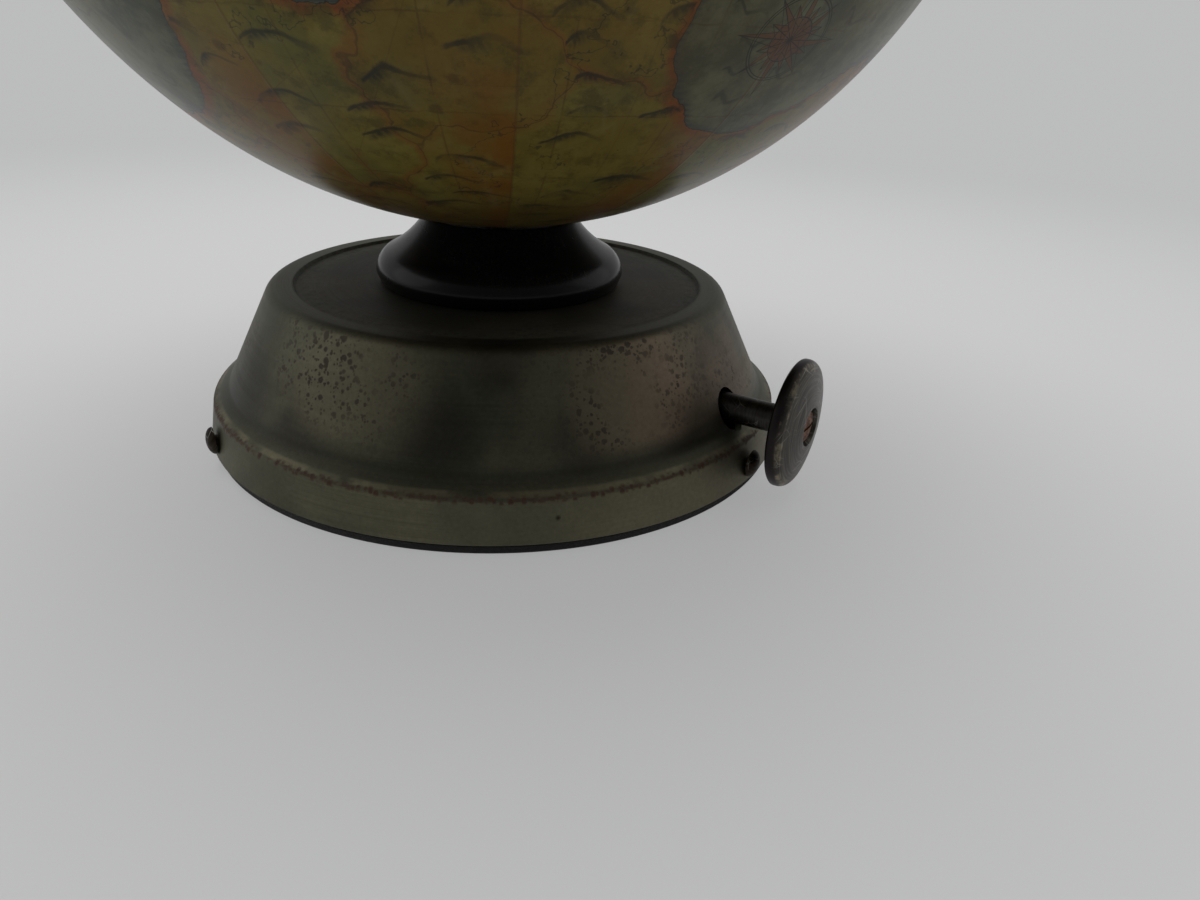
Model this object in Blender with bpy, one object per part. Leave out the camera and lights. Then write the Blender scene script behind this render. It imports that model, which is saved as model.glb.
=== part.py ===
"""Table-top globe bar: a hinged globe with a decanter set, turning on a spun metal base that
holds a hand-wound musical movement. Metres, +Z up, origin under the middle of the felt pad."""

import math

import bmesh
import bpy
from mathutils import Matrix, Vector

# Clearances and mesh fineness
SEAT_GAP = 0.0003
RUN_GAP = 0.0006
CUT_OVERRUN = 0.004
WELD = 0.000001
FULL_TURN = 2 * math.pi
SMOOTH_ANGLE = math.radians(32)
BASE_SEGMENTS = 36
GLOBE_SEGMENTS = 32
DECANTER_SEGMENTS = 20
GLASS_SEGMENTS = 16
SMALL_SEGMENTS = 10
ARC_STEPS = 3
DOME_STEPS = 2

# Base: a felt pad, a board and a spun shell with a band, a step, a cone and a sunken top
FELT_THICKNESS = 0.0025
FELT_INSET = 0.0012
BAND_R = 0.0866
BAND_HEIGHT = 0.0112
BAND_TAPER = 0.0018
STEP_WIDTH = 0.0044
STEP_HEIGHT = 0.0032
STEP_EDGE_RADIUS = 0.0012
CONE_HEIGHT = 0.0280
CONE_INSET = 0.0139
TOP_EDGE_RADIUS = 0.0045
RECESS_INSET = 0.0066
RECESS_DEPTH = 0.0009
RECESS_SLOPE = 0.0006
SHELL_WALL = 0.0012
BOARD_THICKNESS = 0.0100

# Three domed wood screws hold the band to the board
SIDE_SCREW_AZIMUTHS = (math.radians(51.5), math.radians(-65), math.radians(173))
SIDE_SCREW_SHANK_R = 0.0015
SIDE_SCREW_HEAD_R = 0.0038
SIDE_SCREW_HEAD_HEIGHT = 0.0021
SIDE_SCREW_LENGTH = 0.0140

# Globe: two shells parted at the equator, on a collar and a pivot bolt
GLOBE_R = 0.1250
GLOBE_WALL = 0.0025
GLOBE_LIFT = 0.0175
COLLAR_FOOT_R = 0.0353
COLLAR_SIDE_R = 0.0365
COLLAR_SIDE_HEIGHT = 0.0030
COLLAR_CORNER_HEIGHT = 0.0063
COLLAR_EDGE_RADIUS = 0.0062
COLLAR_NECK_R = 0.0222
COLLAR_WAIST = 0.0007
PIVOT_R = 0.0030
PIVOT_HEAD_R = 0.0070
PIVOT_HEAD_HEIGHT = 0.0030
PIVOT_WASHER_R = 0.0120
PIVOT_WASHER_THICKNESS = 0.0012
SPRING_WASHER_R = 0.0065
SPRING_WASHER_THICKNESS = 0.0010
NUT_R = 0.0058
NUT_HEIGHT = 0.0034
NUT_SIDES = 6
PIVOT_TAIL = 0.0008

# Rims: a lipped ring in the lower shell and a plain one in the lid
RIM_FLANGE = 0.0021
RIM_PARTING = 0.0002
LIP_OUTSET = 0.0050
LIP_THICKNESS = 0.0022
LIP_HEIGHT = 0.0040
LIP_CLEARANCE = 0.0004
UPSTAND_THICKNESS = 0.0011
UPSTAND_HEIGHT = 0.0058
LEDGE_WIDTH = 0.0040
LEDGE_THICKNESS = 0.0018
TRAY_DROP = 0.0102

# Tray with one well for the decanter and four for the glasses
TRAY_THICKNESS = 0.0015
WELL_WALL = 0.0015
WELL_CLEARANCE = 0.0008
WELL_FLANGE_WIDTH = 0.0020
WELL_FLANGE_THICKNESS = 0.0006
GLASS_WELL_DEPTH = 0.0220
DECANTER_WELL_DEPTH = 0.0440
GLASS_COUNT = 4
GLASS_OUTSET = 0.0001
GLASS_START = math.radians(45)
GLASS_TOP_R = 0.0190
GLASS_FOOT_R = 0.0150
GLASS_HEIGHT = 0.0500
GLASS_WALL = 0.0016
GLASS_FLOOR = 0.0060

# Decanter and its stopper
DECANTER_R = 0.0360
DECANTER_FOOT_CHAMFER = 0.0030
DECANTER_BODY_HEIGHT = 0.0600
DECANTER_SHOULDER_HEIGHT = 0.0130
DECANTER_WALL = 0.0032
DECANTER_FLOOR = 0.0070
NECK_R = 0.0112
NECK_HEIGHT = 0.0210
NECK_LIP_R = 0.0145
NECK_LIP_HEIGHT = 0.0040
STOPPER_PLUG_LENGTH = 0.0160
STOPPER_PLUG_TAPER = 0.0008
STOPPER_FLANGE_INSET = 0.0012
STOPPER_FLANGE_HEIGHT = 0.0020
STOPPER_BALL_R = 0.0115

# Hinge behind the equator
HINGE_HALF_SPAN = FULL_TURN / GLOBE_SEGMENTS
LEAF_HEIGHT = 0.0140
LEAF_THICKNESS = 0.0012
KNUCKLE_R = 0.0024
KNUCKLE_STANDOFF = 0.0004
KNUCKLE_ROW = 0.0240
CENTRE_KNUCKLE = 0.0080
KNUCKLE_RELIEF = 0.0008
HINGE_PIN_R = 0.0010
HINGE_PIN_CLEARANCE = 0.0002
HINGE_PIN_HEAD_R = 0.0016
HINGE_PIN_HEAD_HEIGHT = 0.0008
RIVET_R = 0.0010
RIVET_HEAD_R = 0.0020
RIVET_HEAD_HEIGHT = 0.0009
RIVET_TAIL_R = 0.0015
RIVET_TAIL_HEIGHT = 0.0006
RIVET_SPREAD = 0.0085
RIVET_HEIGHT = 0.0090

# Knob that lifts the lid
LID_KNOB_HEIGHT = 0.0130
LID_KNOB_BASE_R = 0.0042
LID_KNOB_WAIST_R = 0.0030
LID_KNOB_R = 0.0065
LID_KNOB_LENGTH = 0.0110
LID_SCREW_R = 0.0012
LID_SCREW_HEAD_R = 0.0030
LID_SCREW_HEAD_HEIGHT = 0.0014
LID_SCREW_GRIP = 0.0060

# Winding knob and shaft, square to the wall of the base
SHAFT_AZIMUTH = math.radians(53)
SHAFT_R = 0.0039
SHAFT_HOLE_R = 0.0055
SHAFT_HOLE_OFFSET = 0.0011
KNOB_FACE_REACH = 0.0142
KNOB_R = 0.0174
KNOB_THICKNESS = 0.0060
KNOB_BACK_CHAMFER = 0.0005
KNOB_SIDE_HEIGHT = 0.0008
KNOB_EDGE_WIDTH = 0.0026
KNOB_EDGE_HEIGHT = 0.0027
KNOB_EDGE_SWEEP = math.radians(75)
KNOB_RECESS_R = 0.0052
KNOB_RECESS_DEPTH = 0.0018
KNOB_SEGMENTS = 48
KNOB_SCREW_R = 0.0015
KNOB_SCREW_HEAD_R = 0.0042
KNOB_SCREW_HEAD_HEIGHT = 0.0011
KNOB_SCREW_LENGTH = 0.0100
KNOB_SLOT_WIDTH = 0.0009
KNOB_SLOT_DEPTH = 0.0006

# Musical movement: wheels with trapezoid teeth on parallel arbors
GEAR_MODULE = 0.0006
BARREL_TEETH = 28
CYLINDER_PINION_TEETH = 14
CYLINDER_WHEEL_TEETH = 20
FLY_PINION_TEETH = 8
TOOTH_HEAD_SHARE = 0.85
TOOTH_ROOT_SHARE = 1.2
TOOTH_TIP_SHARE = 0.22
TOOTH_FOOT_SHARE = 0.60
WHEEL_CLEARANCE = 0.0007
WHEEL_THICKNESS = 0.0020
ARBOR_R = 0.0018
FINE_ARBOR_R = 0.0010
ARBOR_CLEARANCE = 0.0003
BEDPLATE_THICKNESS = 0.0012
BEDPLATE_MARGIN = 0.0030
EAR_THICKNESS = 0.0012
EAR_HEAD = 0.0032
DRUM_LENGTH = 0.0095
DRUM_INSET = 0.0010
CYLINDER_R = 0.0055
CYLINDER_LENGTH = 0.0280
PIN_R = 0.0003
PIN_HEIGHT = 0.0006
PIN_SIDES = 4
PIN_ROWS = 14
ROW_STEP = 7
NOTE_STEP = 11
BEAT_COUNT = 29
PIN_PICK_GAP = 0.0003
FRONT_EAR_INSET = 0.0194
FLY_SPAN_R = 0.0050
FLY_VANE_LENGTH = 0.0060
FLY_VANE_THICKNESS = 0.0005
COMB_LENGTH = 0.0118
COMB_HEEL = 0.0050
COMB_THICKNESS = 0.0008
COMB_ROOT_SLANT = 0.0040
COMB_TOOTH_GAP_SHARE = 0.28
COMB_SCREW_R = 0.0007
COMB_SCREW_HEAD_R = 0.0014
COMB_SCREW_HEAD_HEIGHT = 0.0008
COMB_SCREW_COUNT = 3
COMB_SCREW_LENGTH = 0.0040
POCKET_CLEARANCE = 0.0010
BED_SCREW_R = 0.0014
BED_SCREW_HEAD_R = 0.0028
BED_SCREW_HEAD_HEIGHT = 0.0020

# Heights above the table
BOARD_FOOT = FELT_THICKNESS + SEAT_GAP
BOARD_TOP = BOARD_FOOT + BOARD_THICKNESS
SIDE_SCREW_Z = BOARD_FOOT + BOARD_THICKNESS / 2
CREASE_Z = BOARD_FOOT + BAND_HEIGHT
KINK_Z = CREASE_Z + STEP_HEIGHT
BASE_TOP = KINK_Z + CONE_HEIGHT
DISC_TOP = BASE_TOP - RECESS_DEPTH
DISC_UNDERSIDE = DISC_TOP - SHELL_WALL
GLOBE_FOOT = DISC_TOP + SEAT_GAP + GLOBE_LIFT
GLOBE_Z = GLOBE_FOOT + GLOBE_R

# Radii that follow
CREASE_R = BAND_R - BAND_TAPER
KINK_R = CREASE_R - STEP_WIDTH
CONE_TOP_R = KINK_R - CONE_INSET
RECESS_R = CONE_TOP_R - RECESS_INSET
GLOBE_INNER_R = GLOBE_R - GLOBE_WALL
LIP_OUTER_R = GLOBE_R - LIP_OUTSET
LIP_INNER_R = LIP_OUTER_R - LIP_THICKNESS
UPSTAND_INNER_R = LIP_OUTER_R + LIP_CLEARANCE
UPSTAND_OUTER_R = UPSTAND_INNER_R + UPSTAND_THICKNESS
SHELL_EDGE = RIM_PARTING + RIM_FLANGE + SEAT_GAP
LEDGE_TOP = -TRAY_DROP
TRAY_FOOT = LEDGE_TOP + SEAT_GAP
TRAY_TOP = TRAY_FOOT + TRAY_THICKNESS
TRAY_R = LIP_INNER_R - SEAT_GAP * 2
PIVOT_HOLE_R = PIVOT_R + SEAT_GAP
LEAF_INNER_R = GLOBE_R + SEAT_GAP
LEAF_OUTER_R = LEAF_INNER_R + LEAF_THICKNESS
HINGE_Y = GLOBE_R + KNUCKLE_R + KNUCKLE_STANDOFF

# Gear train
BARREL_PITCH_R = GEAR_MODULE * BARREL_TEETH / 2
CYLINDER_PINION_PITCH_R = GEAR_MODULE * CYLINDER_PINION_TEETH / 2
CYLINDER_WHEEL_PITCH_R = GEAR_MODULE * CYLINDER_WHEEL_TEETH / 2
FLY_PINION_PITCH_R = GEAR_MODULE * FLY_PINION_TEETH / 2
TOOTH_HEAD = GEAR_MODULE * TOOTH_HEAD_SHARE
BARREL_TIP_R = BARREL_PITCH_R + TOOTH_HEAD
CYLINDER_WHEEL_TIP_R = CYLINDER_WHEEL_PITCH_R + TOOTH_HEAD
DRUM_R = BARREL_PITCH_R - DRUM_INSET
CYLINDER_OFFSET = BARREL_PITCH_R + CYLINDER_PINION_PITCH_R
FLY_OFFSET = CYLINDER_WHEEL_PITCH_R + FLY_PINION_PITCH_R
BEDPLATE_TOP = BOARD_TOP + SEAT_GAP + BEDPLATE_THICKNESS
SHAFT_Z = BEDPLATE_TOP + CYLINDER_WHEEL_TIP_R + WHEEL_CLEARANCE
BEDPLATE_LEVEL = BEDPLATE_TOP - SHAFT_Z

# Stations along the shaft, from the middle of the base outwards
KNOB_FACE = BAND_R + KNOB_FACE_REACH
KNOB_BACK = KNOB_FACE - KNOB_THICKNESS
FRONT_EAR = KINK_R - FRONT_EAR_INSET
DRUM_FRONT = FRONT_EAR - RUN_GAP
BARREL_WHEEL = DRUM_FRONT - DRUM_LENGTH - WHEEL_THICKNESS
MIDDLE_EAR = BARREL_WHEEL - RUN_GAP - EAR_THICKNESS
CYLINDER_FRONT = MIDDLE_EAR
CYLINDER_BACK = CYLINDER_FRONT - CYLINDER_LENGTH
CYLINDER_WHEEL = CYLINDER_BACK - WHEEL_THICKNESS
BACK_EAR = CYLINDER_WHEEL - RUN_GAP - EAR_THICKNESS
FLY_FRONT = BACK_EAR - RUN_GAP
FLY_BACK = FLY_FRONT - FLY_VANE_LENGTH
FLY_EAR = FLY_BACK - RUN_GAP - EAR_THICKNESS
COMB_TIP = CYLINDER_OFFSET + CYLINDER_R + PIN_HEIGHT + PIN_PICK_GAP
COMB_BACK = COMB_TIP + COMB_LENGTH
BEDPLATE_SIDE = COMB_BACK + BEDPLATE_MARGIN

COLOURS = {
    "spun_steel": ((0.30, 0.29, 0.22), 0.9, 0.42),
    "dark_steel": ((0.07, 0.065, 0.06), 0.8, 0.45),
    "bright_steel": ((0.60, 0.60, 0.58), 1.0, 0.30),
    "brass": ((0.72, 0.52, 0.22), 1.0, 0.30),
    "copper": ((0.45, 0.20, 0.11), 0.8, 0.50),
    "black_plastic": ((0.012, 0.012, 0.013), 0.0, 0.22),
    "black_felt": ((0.01, 0.01, 0.01), 0.0, 0.95),
    "board_wood": ((0.33, 0.21, 0.11), 0.0, 0.70),
    "map_print": ((0.42, 0.35, 0.12), 0.0, 0.30),
    "rim_gold": ((0.62, 0.44, 0.16), 0.9, 0.35),
    "tray_flock": ((0.20, 0.02, 0.03), 0.0, 0.90),
    "clear_glass": ((0.85, 0.90, 0.90), 0.0, 0.05),
}


def clear_scene():
    for old in list(bpy.data.objects):
        bpy.data.objects.remove(old, do_unlink=True)


def finish_named(name):
    """The material of one finish, made the first time it is asked for."""
    material = bpy.data.materials.get(name)
    if material:
        return material
    colour, metallic, roughness = COLOURS[name]
    material = bpy.data.materials.new(name)
    material.use_nodes = True
    shader = material.node_tree.nodes["Principled BSDF"]
    shader.inputs["Base Color"].default_value = (*colour, 1)
    shader.inputs["Metallic"].default_value = metallic
    shader.inputs["Roughness"].default_value = roughness
    material.diffuse_color = (*colour, 1)
    return material


def part(name, shape, finish, parent=None, location=(0, 0, 0)):
    """One named object from a bmesh, placed under its parent."""
    mesh = bpy.data.meshes.new(name)
    shape.to_mesh(mesh)
    shape.free()
    mesh.shade_smooth()
    mesh.set_sharp_from_angle(angle=SMOOTH_ANGLE)
    mesh.materials.append(finish_named(finish))
    item = bpy.data.objects.new(name, mesh)
    bpy.context.scene.collection.objects.link(item)
    item.parent = parent
    item.location = location
    return item


def tool(name, shape, parent=None, location=(0, 0, 0)):
    """A hidden shape for a Boolean."""
    item = part(name, shape, "dark_steel", parent, location)
    item.hide_render = True
    item.display_type = "WIRE"
    return item


def combine(target, other, operation):
    modifier = target.modifiers.new(operation.title(), "BOOLEAN")
    modifier.operation = operation
    modifier.object = other


def cut(target, *others):
    for other in others:
        combine(target, other, "DIFFERENCE")


def fuse(target, *others):
    for other in others:
        combine(target, other, "UNION")


def frame(name, location, rotation=None, parent=None):
    """An empty that carries the pieces on one axis."""
    empty = bpy.data.objects.new(name, None)
    bpy.context.scene.collection.objects.link(empty)
    empty.parent = parent
    empty.matrix_local = Matrix.Translation(location) @ (rotation or Matrix.Identity(4))
    return empty


def outward(azimuth):
    """Rotation whose Z points out of the base at this azimuth, with Y up."""
    out = Vector((math.sin(azimuth), -math.cos(azimuth), 0))
    up = Vector((0, 0, 1))
    side = up.cross(out)
    return Matrix((side, up, out)).transposed().to_4x4()


def arc(centre, radii, start, end, steps):
    """Points along an elliptic arc in the plane of an outline, angles in radians."""
    (x, z), (width, height) = centre, radii
    turns = [start + (end - start) * step / steps for step in range(steps + 1)]
    return [(x + width * math.cos(turn), z + height * math.sin(turn)) for turn in turns]


def rounded(before, corner, after, radius, steps):
    """Points that round one corner of an outline."""
    corner = Vector(corner)
    back = (Vector(before) - corner).normalized()
    ahead = (Vector(after) - corner).normalized()
    half = back.angle(ahead) / 2
    centre = corner + (back + ahead).normalized() * radius / math.sin(half)
    first = corner + back * radius / math.tan(half) - centre
    last = corner + ahead * radius / math.tan(half) - centre
    points = []
    for step in range(steps + 1):
        spoke = first.lerp(last, step / steps).normalized() * radius
        points.append(tuple(centre + spoke))
    return points


def inset(outline, wall):
    """The same open outline moved to its left by the wall."""
    points = [Vector(point) for point in outline]
    runs = [(b - a).normalized() for a, b in zip(points, points[1:])]
    lefts = [Vector((-run.y, run.x)) for run in runs]
    moved = []
    for index, point in enumerate(points):
        first = lefts[max(index - 1, 0)]
        second = lefts[min(index, len(lefts) - 1)]
        moved.append(tuple(point + (first + second) * wall / (1 + first.dot(second))))
    return moved


def turned(outline, segments, span=FULL_TURN, start=0.0):
    """Turns an outline of (radius, height) about Z. One that starts and ends on the axis is left open."""
    shape = bmesh.new()
    spoke = Matrix.Rotation(start, 3, "Z")
    verts = [shape.verts.new(spoke @ Vector((radius, 0, height))) for radius, height in outline]
    geometry = verts + [shape.edges.new(pair) for pair in zip(verts, verts[1:])]
    on_axis = outline[0][0] == 0 and outline[-1][0] == 0
    if not on_axis:
        geometry.append(shape.edges.new((verts[-1], verts[0])))
    whole = span == FULL_TURN
    if not whole:
        geometry.append(shape.faces.new(verts))
    bmesh.ops.spin(
        shape, geom=geometry, cent=(0, 0, 0), axis=(0, 0, 1), angle=span, steps=segments, use_merge=whole
    )
    bmesh.ops.remove_doubles(shape, verts=shape.verts, dist=WELD)
    bmesh.ops.recalc_face_normals(shape, faces=shape.faces)
    return shape


def rod(radius, low, high, segments=SMALL_SEGMENTS):
    return turned([(0, low), (radius, low), (radius, high), (0, high)], segments)


def ring(inner_r, outer_r, thickness, segments):
    return turned([(inner_r, 0), (outer_r, 0), (outer_r, thickness), (inner_r, thickness)], segments)


def prism(outline, low, high):
    """Extrudes a flat outline along Z."""
    shape = bmesh.new()
    face = shape.faces.new([shape.verts.new((x, y, low)) for x, y in outline])
    result = bmesh.ops.extrude_face_region(shape, geom=[face])
    top = [item for item in result["geom"] if isinstance(item, bmesh.types.BMVert)]
    bmesh.ops.translate(shape, verts=top, vec=(0, 0, high - low))
    bmesh.ops.recalc_face_normals(shape, faces=shape.faces)
    return shape


def block(low, high):
    """A box between two corners."""
    outline = [(low[0], low[1]), (high[0], low[1]), (high[0], high[1]), (low[0], high[1])]
    return prism(outline, low[2], high[2])


def moved(shape, matrix):
    bmesh.ops.transform(shape, matrix=matrix, verts=shape.verts)
    return shape


def gathered(shapes):
    """Several separate shapes in one."""
    whole = bmesh.new()
    for shape in shapes:
        mesh = bpy.data.meshes.new("gathered")
        shape.to_mesh(mesh)
        shape.free()
        whole.from_mesh(mesh)
        bpy.data.meshes.remove(mesh)
    return whole


def dome_screw(shank_r, length, head_r, head_height, seat=0.0):
    """A screw along Z with its shank below the seat and a domed head above it."""
    crown = arc((0, seat), (head_r, head_height), 0, math.pi / 2, DOME_STEPS)[:-1]
    outline = [(0, seat - length), (shank_r, seat - length), (shank_r, seat)]
    return turned(outline + crown + [(0, seat + head_height)], SMALL_SEGMENTS)


# Base


def base_outline():
    """Outside of the spun shell, from the foot of the band to the hole in the top."""
    foot = (BAND_R, BOARD_FOOT)
    kink = (KINK_R, KINK_Z)
    shoulder = (CONE_TOP_R, BASE_TOP)
    recess_edge = (RECESS_R, BASE_TOP)
    step = rounded(foot, (CREASE_R, CREASE_Z), kink, STEP_EDGE_RADIUS, ARC_STEPS - 1)
    edge = rounded(kink, shoulder, recess_edge, TOP_EDGE_RADIUS, ARC_STEPS - 1)
    sunken = [(RECESS_R - RECESS_SLOPE, DISC_TOP), (PIVOT_HOLE_R, DISC_TOP)]
    return [foot] + step + [kink] + edge + [recess_edge] + sunken


def band_radius(height):
    """Outer radius of the band at a height above the table."""
    return BAND_R - BAND_TAPER * (height - BOARD_FOOT) / BAND_HEIGHT


def make_base_shell(shaft_frame):
    outside = base_outline()
    inside = inset(outside, SHELL_WALL)
    shell = part("base_shell", turned(outside + inside[::-1], BASE_SEGMENTS), "spun_steel")
    hole = rod(SHAFT_HOLE_R, CONE_TOP_R - CUT_OVERRUN, BAND_R + CUT_OVERRUN, GLASS_SEGMENTS)
    cut(shell, tool("shaft_hole_cutter", hole, shaft_frame, (-SHAFT_HOLE_OFFSET, 0, 0)))
    reach = band_radius(SIDE_SCREW_Z)
    bores = [
        moved(rod(SIDE_SCREW_SHANK_R + SEAT_GAP, reach - CUT_OVERRUN, reach + CUT_OVERRUN), turn)
        for turn in side_screw_places()
    ]
    cut(shell, tool("band_hole_cutter", gathered(bores)))
    return shell


def side_screw_places():
    """One matrix for each side screw, with Z pointing out of the band."""
    return [Matrix.Translation((0, 0, SIDE_SCREW_Z)) @ outward(azimuth) for azimuth in SIDE_SCREW_AZIMUTHS]


def make_side_screws():
    seat = band_radius(SIDE_SCREW_Z - SIDE_SCREW_HEAD_R) + SEAT_GAP
    for index, place in enumerate(side_screw_places()):
        screw = dome_screw(
            SIDE_SCREW_SHANK_R, SIDE_SCREW_LENGTH, SIDE_SCREW_HEAD_R, SIDE_SCREW_HEAD_HEIGHT, seat
        )
        part(f"side_screw_{index + 1}", moved(screw, place), "dark_steel")


def bed_screw_places():
    """Plan positions of the movement's screws in the shaft's frame: (side, station)."""
    left = BEDPLATE_MARGIN + BED_SCREW_HEAD_R - BEDPLATE_SIDE
    right = DRUM_R - BED_SCREW_HEAD_R
    back = FLY_EAR + BEDPLATE_MARGIN + BED_SCREW_HEAD_R
    front = FRONT_EAR - BED_SCREW_HEAD_R
    return [(left, back), (left, front), (right, back)]


def upright(shape, side, station):
    """Stands a shape that was turned about Z upright in the shaft's frame, its foot on the board's foot."""
    spot = Matrix.Translation((side, BOARD_FOOT - SHAFT_Z, station))
    return moved(shape, spot @ Matrix.Rotation(-math.pi / 2, 4, "X"))


def make_base_board(shaft_frame):
    radius = band_radius(BOARD_TOP) - SHELL_WALL - SEAT_GAP * 2
    board = part("base_board", rod(radius, BOARD_FOOT, BOARD_TOP, BASE_SEGMENTS), "board_wood")
    deep = SIDE_SCREW_LENGTH + CUT_OVERRUN
    bores = [
        moved(rod(SIDE_SCREW_SHANK_R + SEAT_GAP, radius - deep, radius + CUT_OVERRUN), place)
        for place in side_screw_places()
    ]
    bore_tool = tool("board_bore_cutter", gathered(bores))
    sunk = BED_SCREW_HEAD_HEIGHT + SEAT_GAP
    wide = BED_SCREW_HEAD_R + SEAT_GAP
    narrow = BED_SCREW_R + SEAT_GAP
    outline = [
        (0, -CUT_OVERRUN),
        (wide, -CUT_OVERRUN),
        (wide, sunk),
        (narrow, sunk),
        (narrow, BOARD_THICKNESS + CUT_OVERRUN),
        (0, BOARD_THICKNESS + CUT_OVERRUN),
    ]
    sinks = [upright(turned(outline, SMALL_SEGMENTS), *place) for place in bed_screw_places()]
    sink_tool = tool("board_sink_cutter", gathered(sinks), shaft_frame)
    reach = BARREL_TIP_R + POCKET_CLEARANCE
    pocket = block(
        (-reach, -reach, BARREL_WHEEL - POCKET_CLEARANCE),
        (reach, BOARD_TOP - SHAFT_Z + CUT_OVERRUN, DRUM_FRONT + POCKET_CLEARANCE),
    )
    pocket_tool = tool("board_pocket_cutter", pocket, shaft_frame)
    cut(board, bore_tool, sink_tool, pocket_tool)
    return board


def make_felt_pad():
    return part("felt_pad", rod(BAND_R - FELT_INSET, 0, FELT_THICKNESS, BASE_SEGMENTS), "black_felt")


# Musical movement


def gear_outline(teeth, phase):
    """Trapezoid teeth round a circle, with one tooth centred on the phase angle."""
    pitch_r = GEAR_MODULE * teeth / 2
    tip_r = pitch_r + GEAR_MODULE * TOOTH_HEAD_SHARE
    root_r = pitch_r - GEAR_MODULE * TOOTH_ROOT_SHARE
    step = FULL_TURN / teeth
    foot = step * TOOTH_FOOT_SHARE / 2
    tip = step * TOOTH_TIP_SHARE / 2
    corners = [(root_r, -foot), (tip_r, -tip), (tip_r, tip), (root_r, foot)]
    points = []
    for tooth in range(teeth):
        middle = phase + tooth * step
        points += [(r * math.cos(middle + a), r * math.sin(middle + a)) for r, a in corners]
    return points


def wheel(teeth, phase, low):
    return prism(gear_outline(teeth, phase), low, low + WHEEL_THICKNESS)


def make_spring_barrel(shaft_frame):
    """Toothed drum that the wound spring drives; a tooth points at the cylinder's pinion."""
    barrel = part("spring_barrel", wheel(BARREL_TEETH, math.pi, BARREL_WHEEL), "brass", shaft_frame)
    drum_foot = BARREL_WHEEL + WHEEL_THICKNESS / 2
    fuse(barrel, tool("drum_adder", rod(DRUM_R, drum_foot, DRUM_FRONT, GLOBE_SEGMENTS), shaft_frame))
    bore = rod(ARBOR_R + ARBOR_CLEARANCE, BARREL_WHEEL - CUT_OVERRUN, DRUM_FRONT + CUT_OVERRUN)
    cut(barrel, tool("barrel_bore_cutter", bore, shaft_frame))
    return barrel


def pin_places():
    """Station and angle of each pin: one or two to a row, scattered round the cylinder as in a tune."""
    places = []
    for row in range(PIN_ROWS):
        station = CYLINDER_BACK + CYLINDER_LENGTH * (row + 1) / (PIN_ROWS + 1)
        for note in range(1 + row % 2):
            beat = (row * ROW_STEP + note * NOTE_STEP) % BEAT_COUNT
            places.append((station, FULL_TURN * beat / BEAT_COUNT))
    return places


def make_pin_cylinder(shaft_frame):
    """Cylinder with its pins, a pinion at the barrel and a wheel at the governor."""
    place = (-CYLINDER_OFFSET, 0, 0)
    gap_phase = math.pi / CYLINDER_PINION_TEETH
    drum = rod(CYLINDER_R, CYLINDER_BACK, CYLINDER_FRONT, GLASS_SEGMENTS)
    cylinder = part("pin_cylinder", drum, "brass", shaft_frame, place)
    pin = (PIN_R, CYLINDER_R - PIN_HEIGHT, CYLINDER_R + PIN_HEIGHT, PIN_SIDES)
    adders = {
        "arbor_adder": rod(FINE_ARBOR_R, BACK_EAR - RUN_GAP, FRONT_EAR + EAR_THICKNESS + RUN_GAP),
        "pinion_adder": wheel(CYLINDER_PINION_TEETH, gap_phase, BARREL_WHEEL),
        "wheel_adder": wheel(CYLINDER_WHEEL_TEETH, math.pi / 2, CYLINDER_WHEEL + SEAT_GAP),
        "pin_adder": gathered([moved(rod(*pin), pin_matrix(*spot)) for spot in pin_places()]),
    }
    for name, shape in adders.items():
        fuse(cylinder, tool(name, shape, shaft_frame, place))
    return cylinder


def pin_matrix(station, angle):
    """Turns a pin made along Z so that it stands out of the cylinder."""
    spoke = Matrix.Rotation(angle, 4, "Z") @ Matrix.Rotation(math.pi / 2, 4, "Y")
    return Matrix.Translation((0, 0, station)) @ spoke


def make_governor_fly(shaft_frame):
    """Two-vaned air brake above the cylinder, driven through its own pinion."""
    place = (-CYLINDER_OFFSET, FLY_OFFSET, 0)
    gap_phase = math.pi / FLY_PINION_TEETH - math.pi / 2
    half = FLY_VANE_THICKNESS / 2
    vane = block((-FLY_SPAN_R, -half, FLY_BACK), (FLY_SPAN_R, half, FLY_FRONT))
    fly = part("governor_fly", vane, "bright_steel", shaft_frame, place)
    pinion_foot = CYLINDER_WHEEL + SEAT_GAP
    arbor = rod(FINE_ARBOR_R, FLY_EAR - RUN_GAP, pinion_foot + WHEEL_THICKNESS)
    pinion = wheel(FLY_PINION_TEETH, gap_phase, pinion_foot)
    fuse(
        fly,
        tool("fly_arbor_adder", arbor, shaft_frame, place),
        tool("fly_pinion_adder", pinion, shaft_frame, place),
    )
    return fly


def ear(side, low_side, high_side, station, top):
    """An upright of the bedplate across the shaft."""
    return block(
        (side + low_side, BEDPLATE_LEVEL - BEDPLATE_THICKNESS / 2, station),
        (side + high_side, top, station + EAR_THICKNESS),
    )


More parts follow.
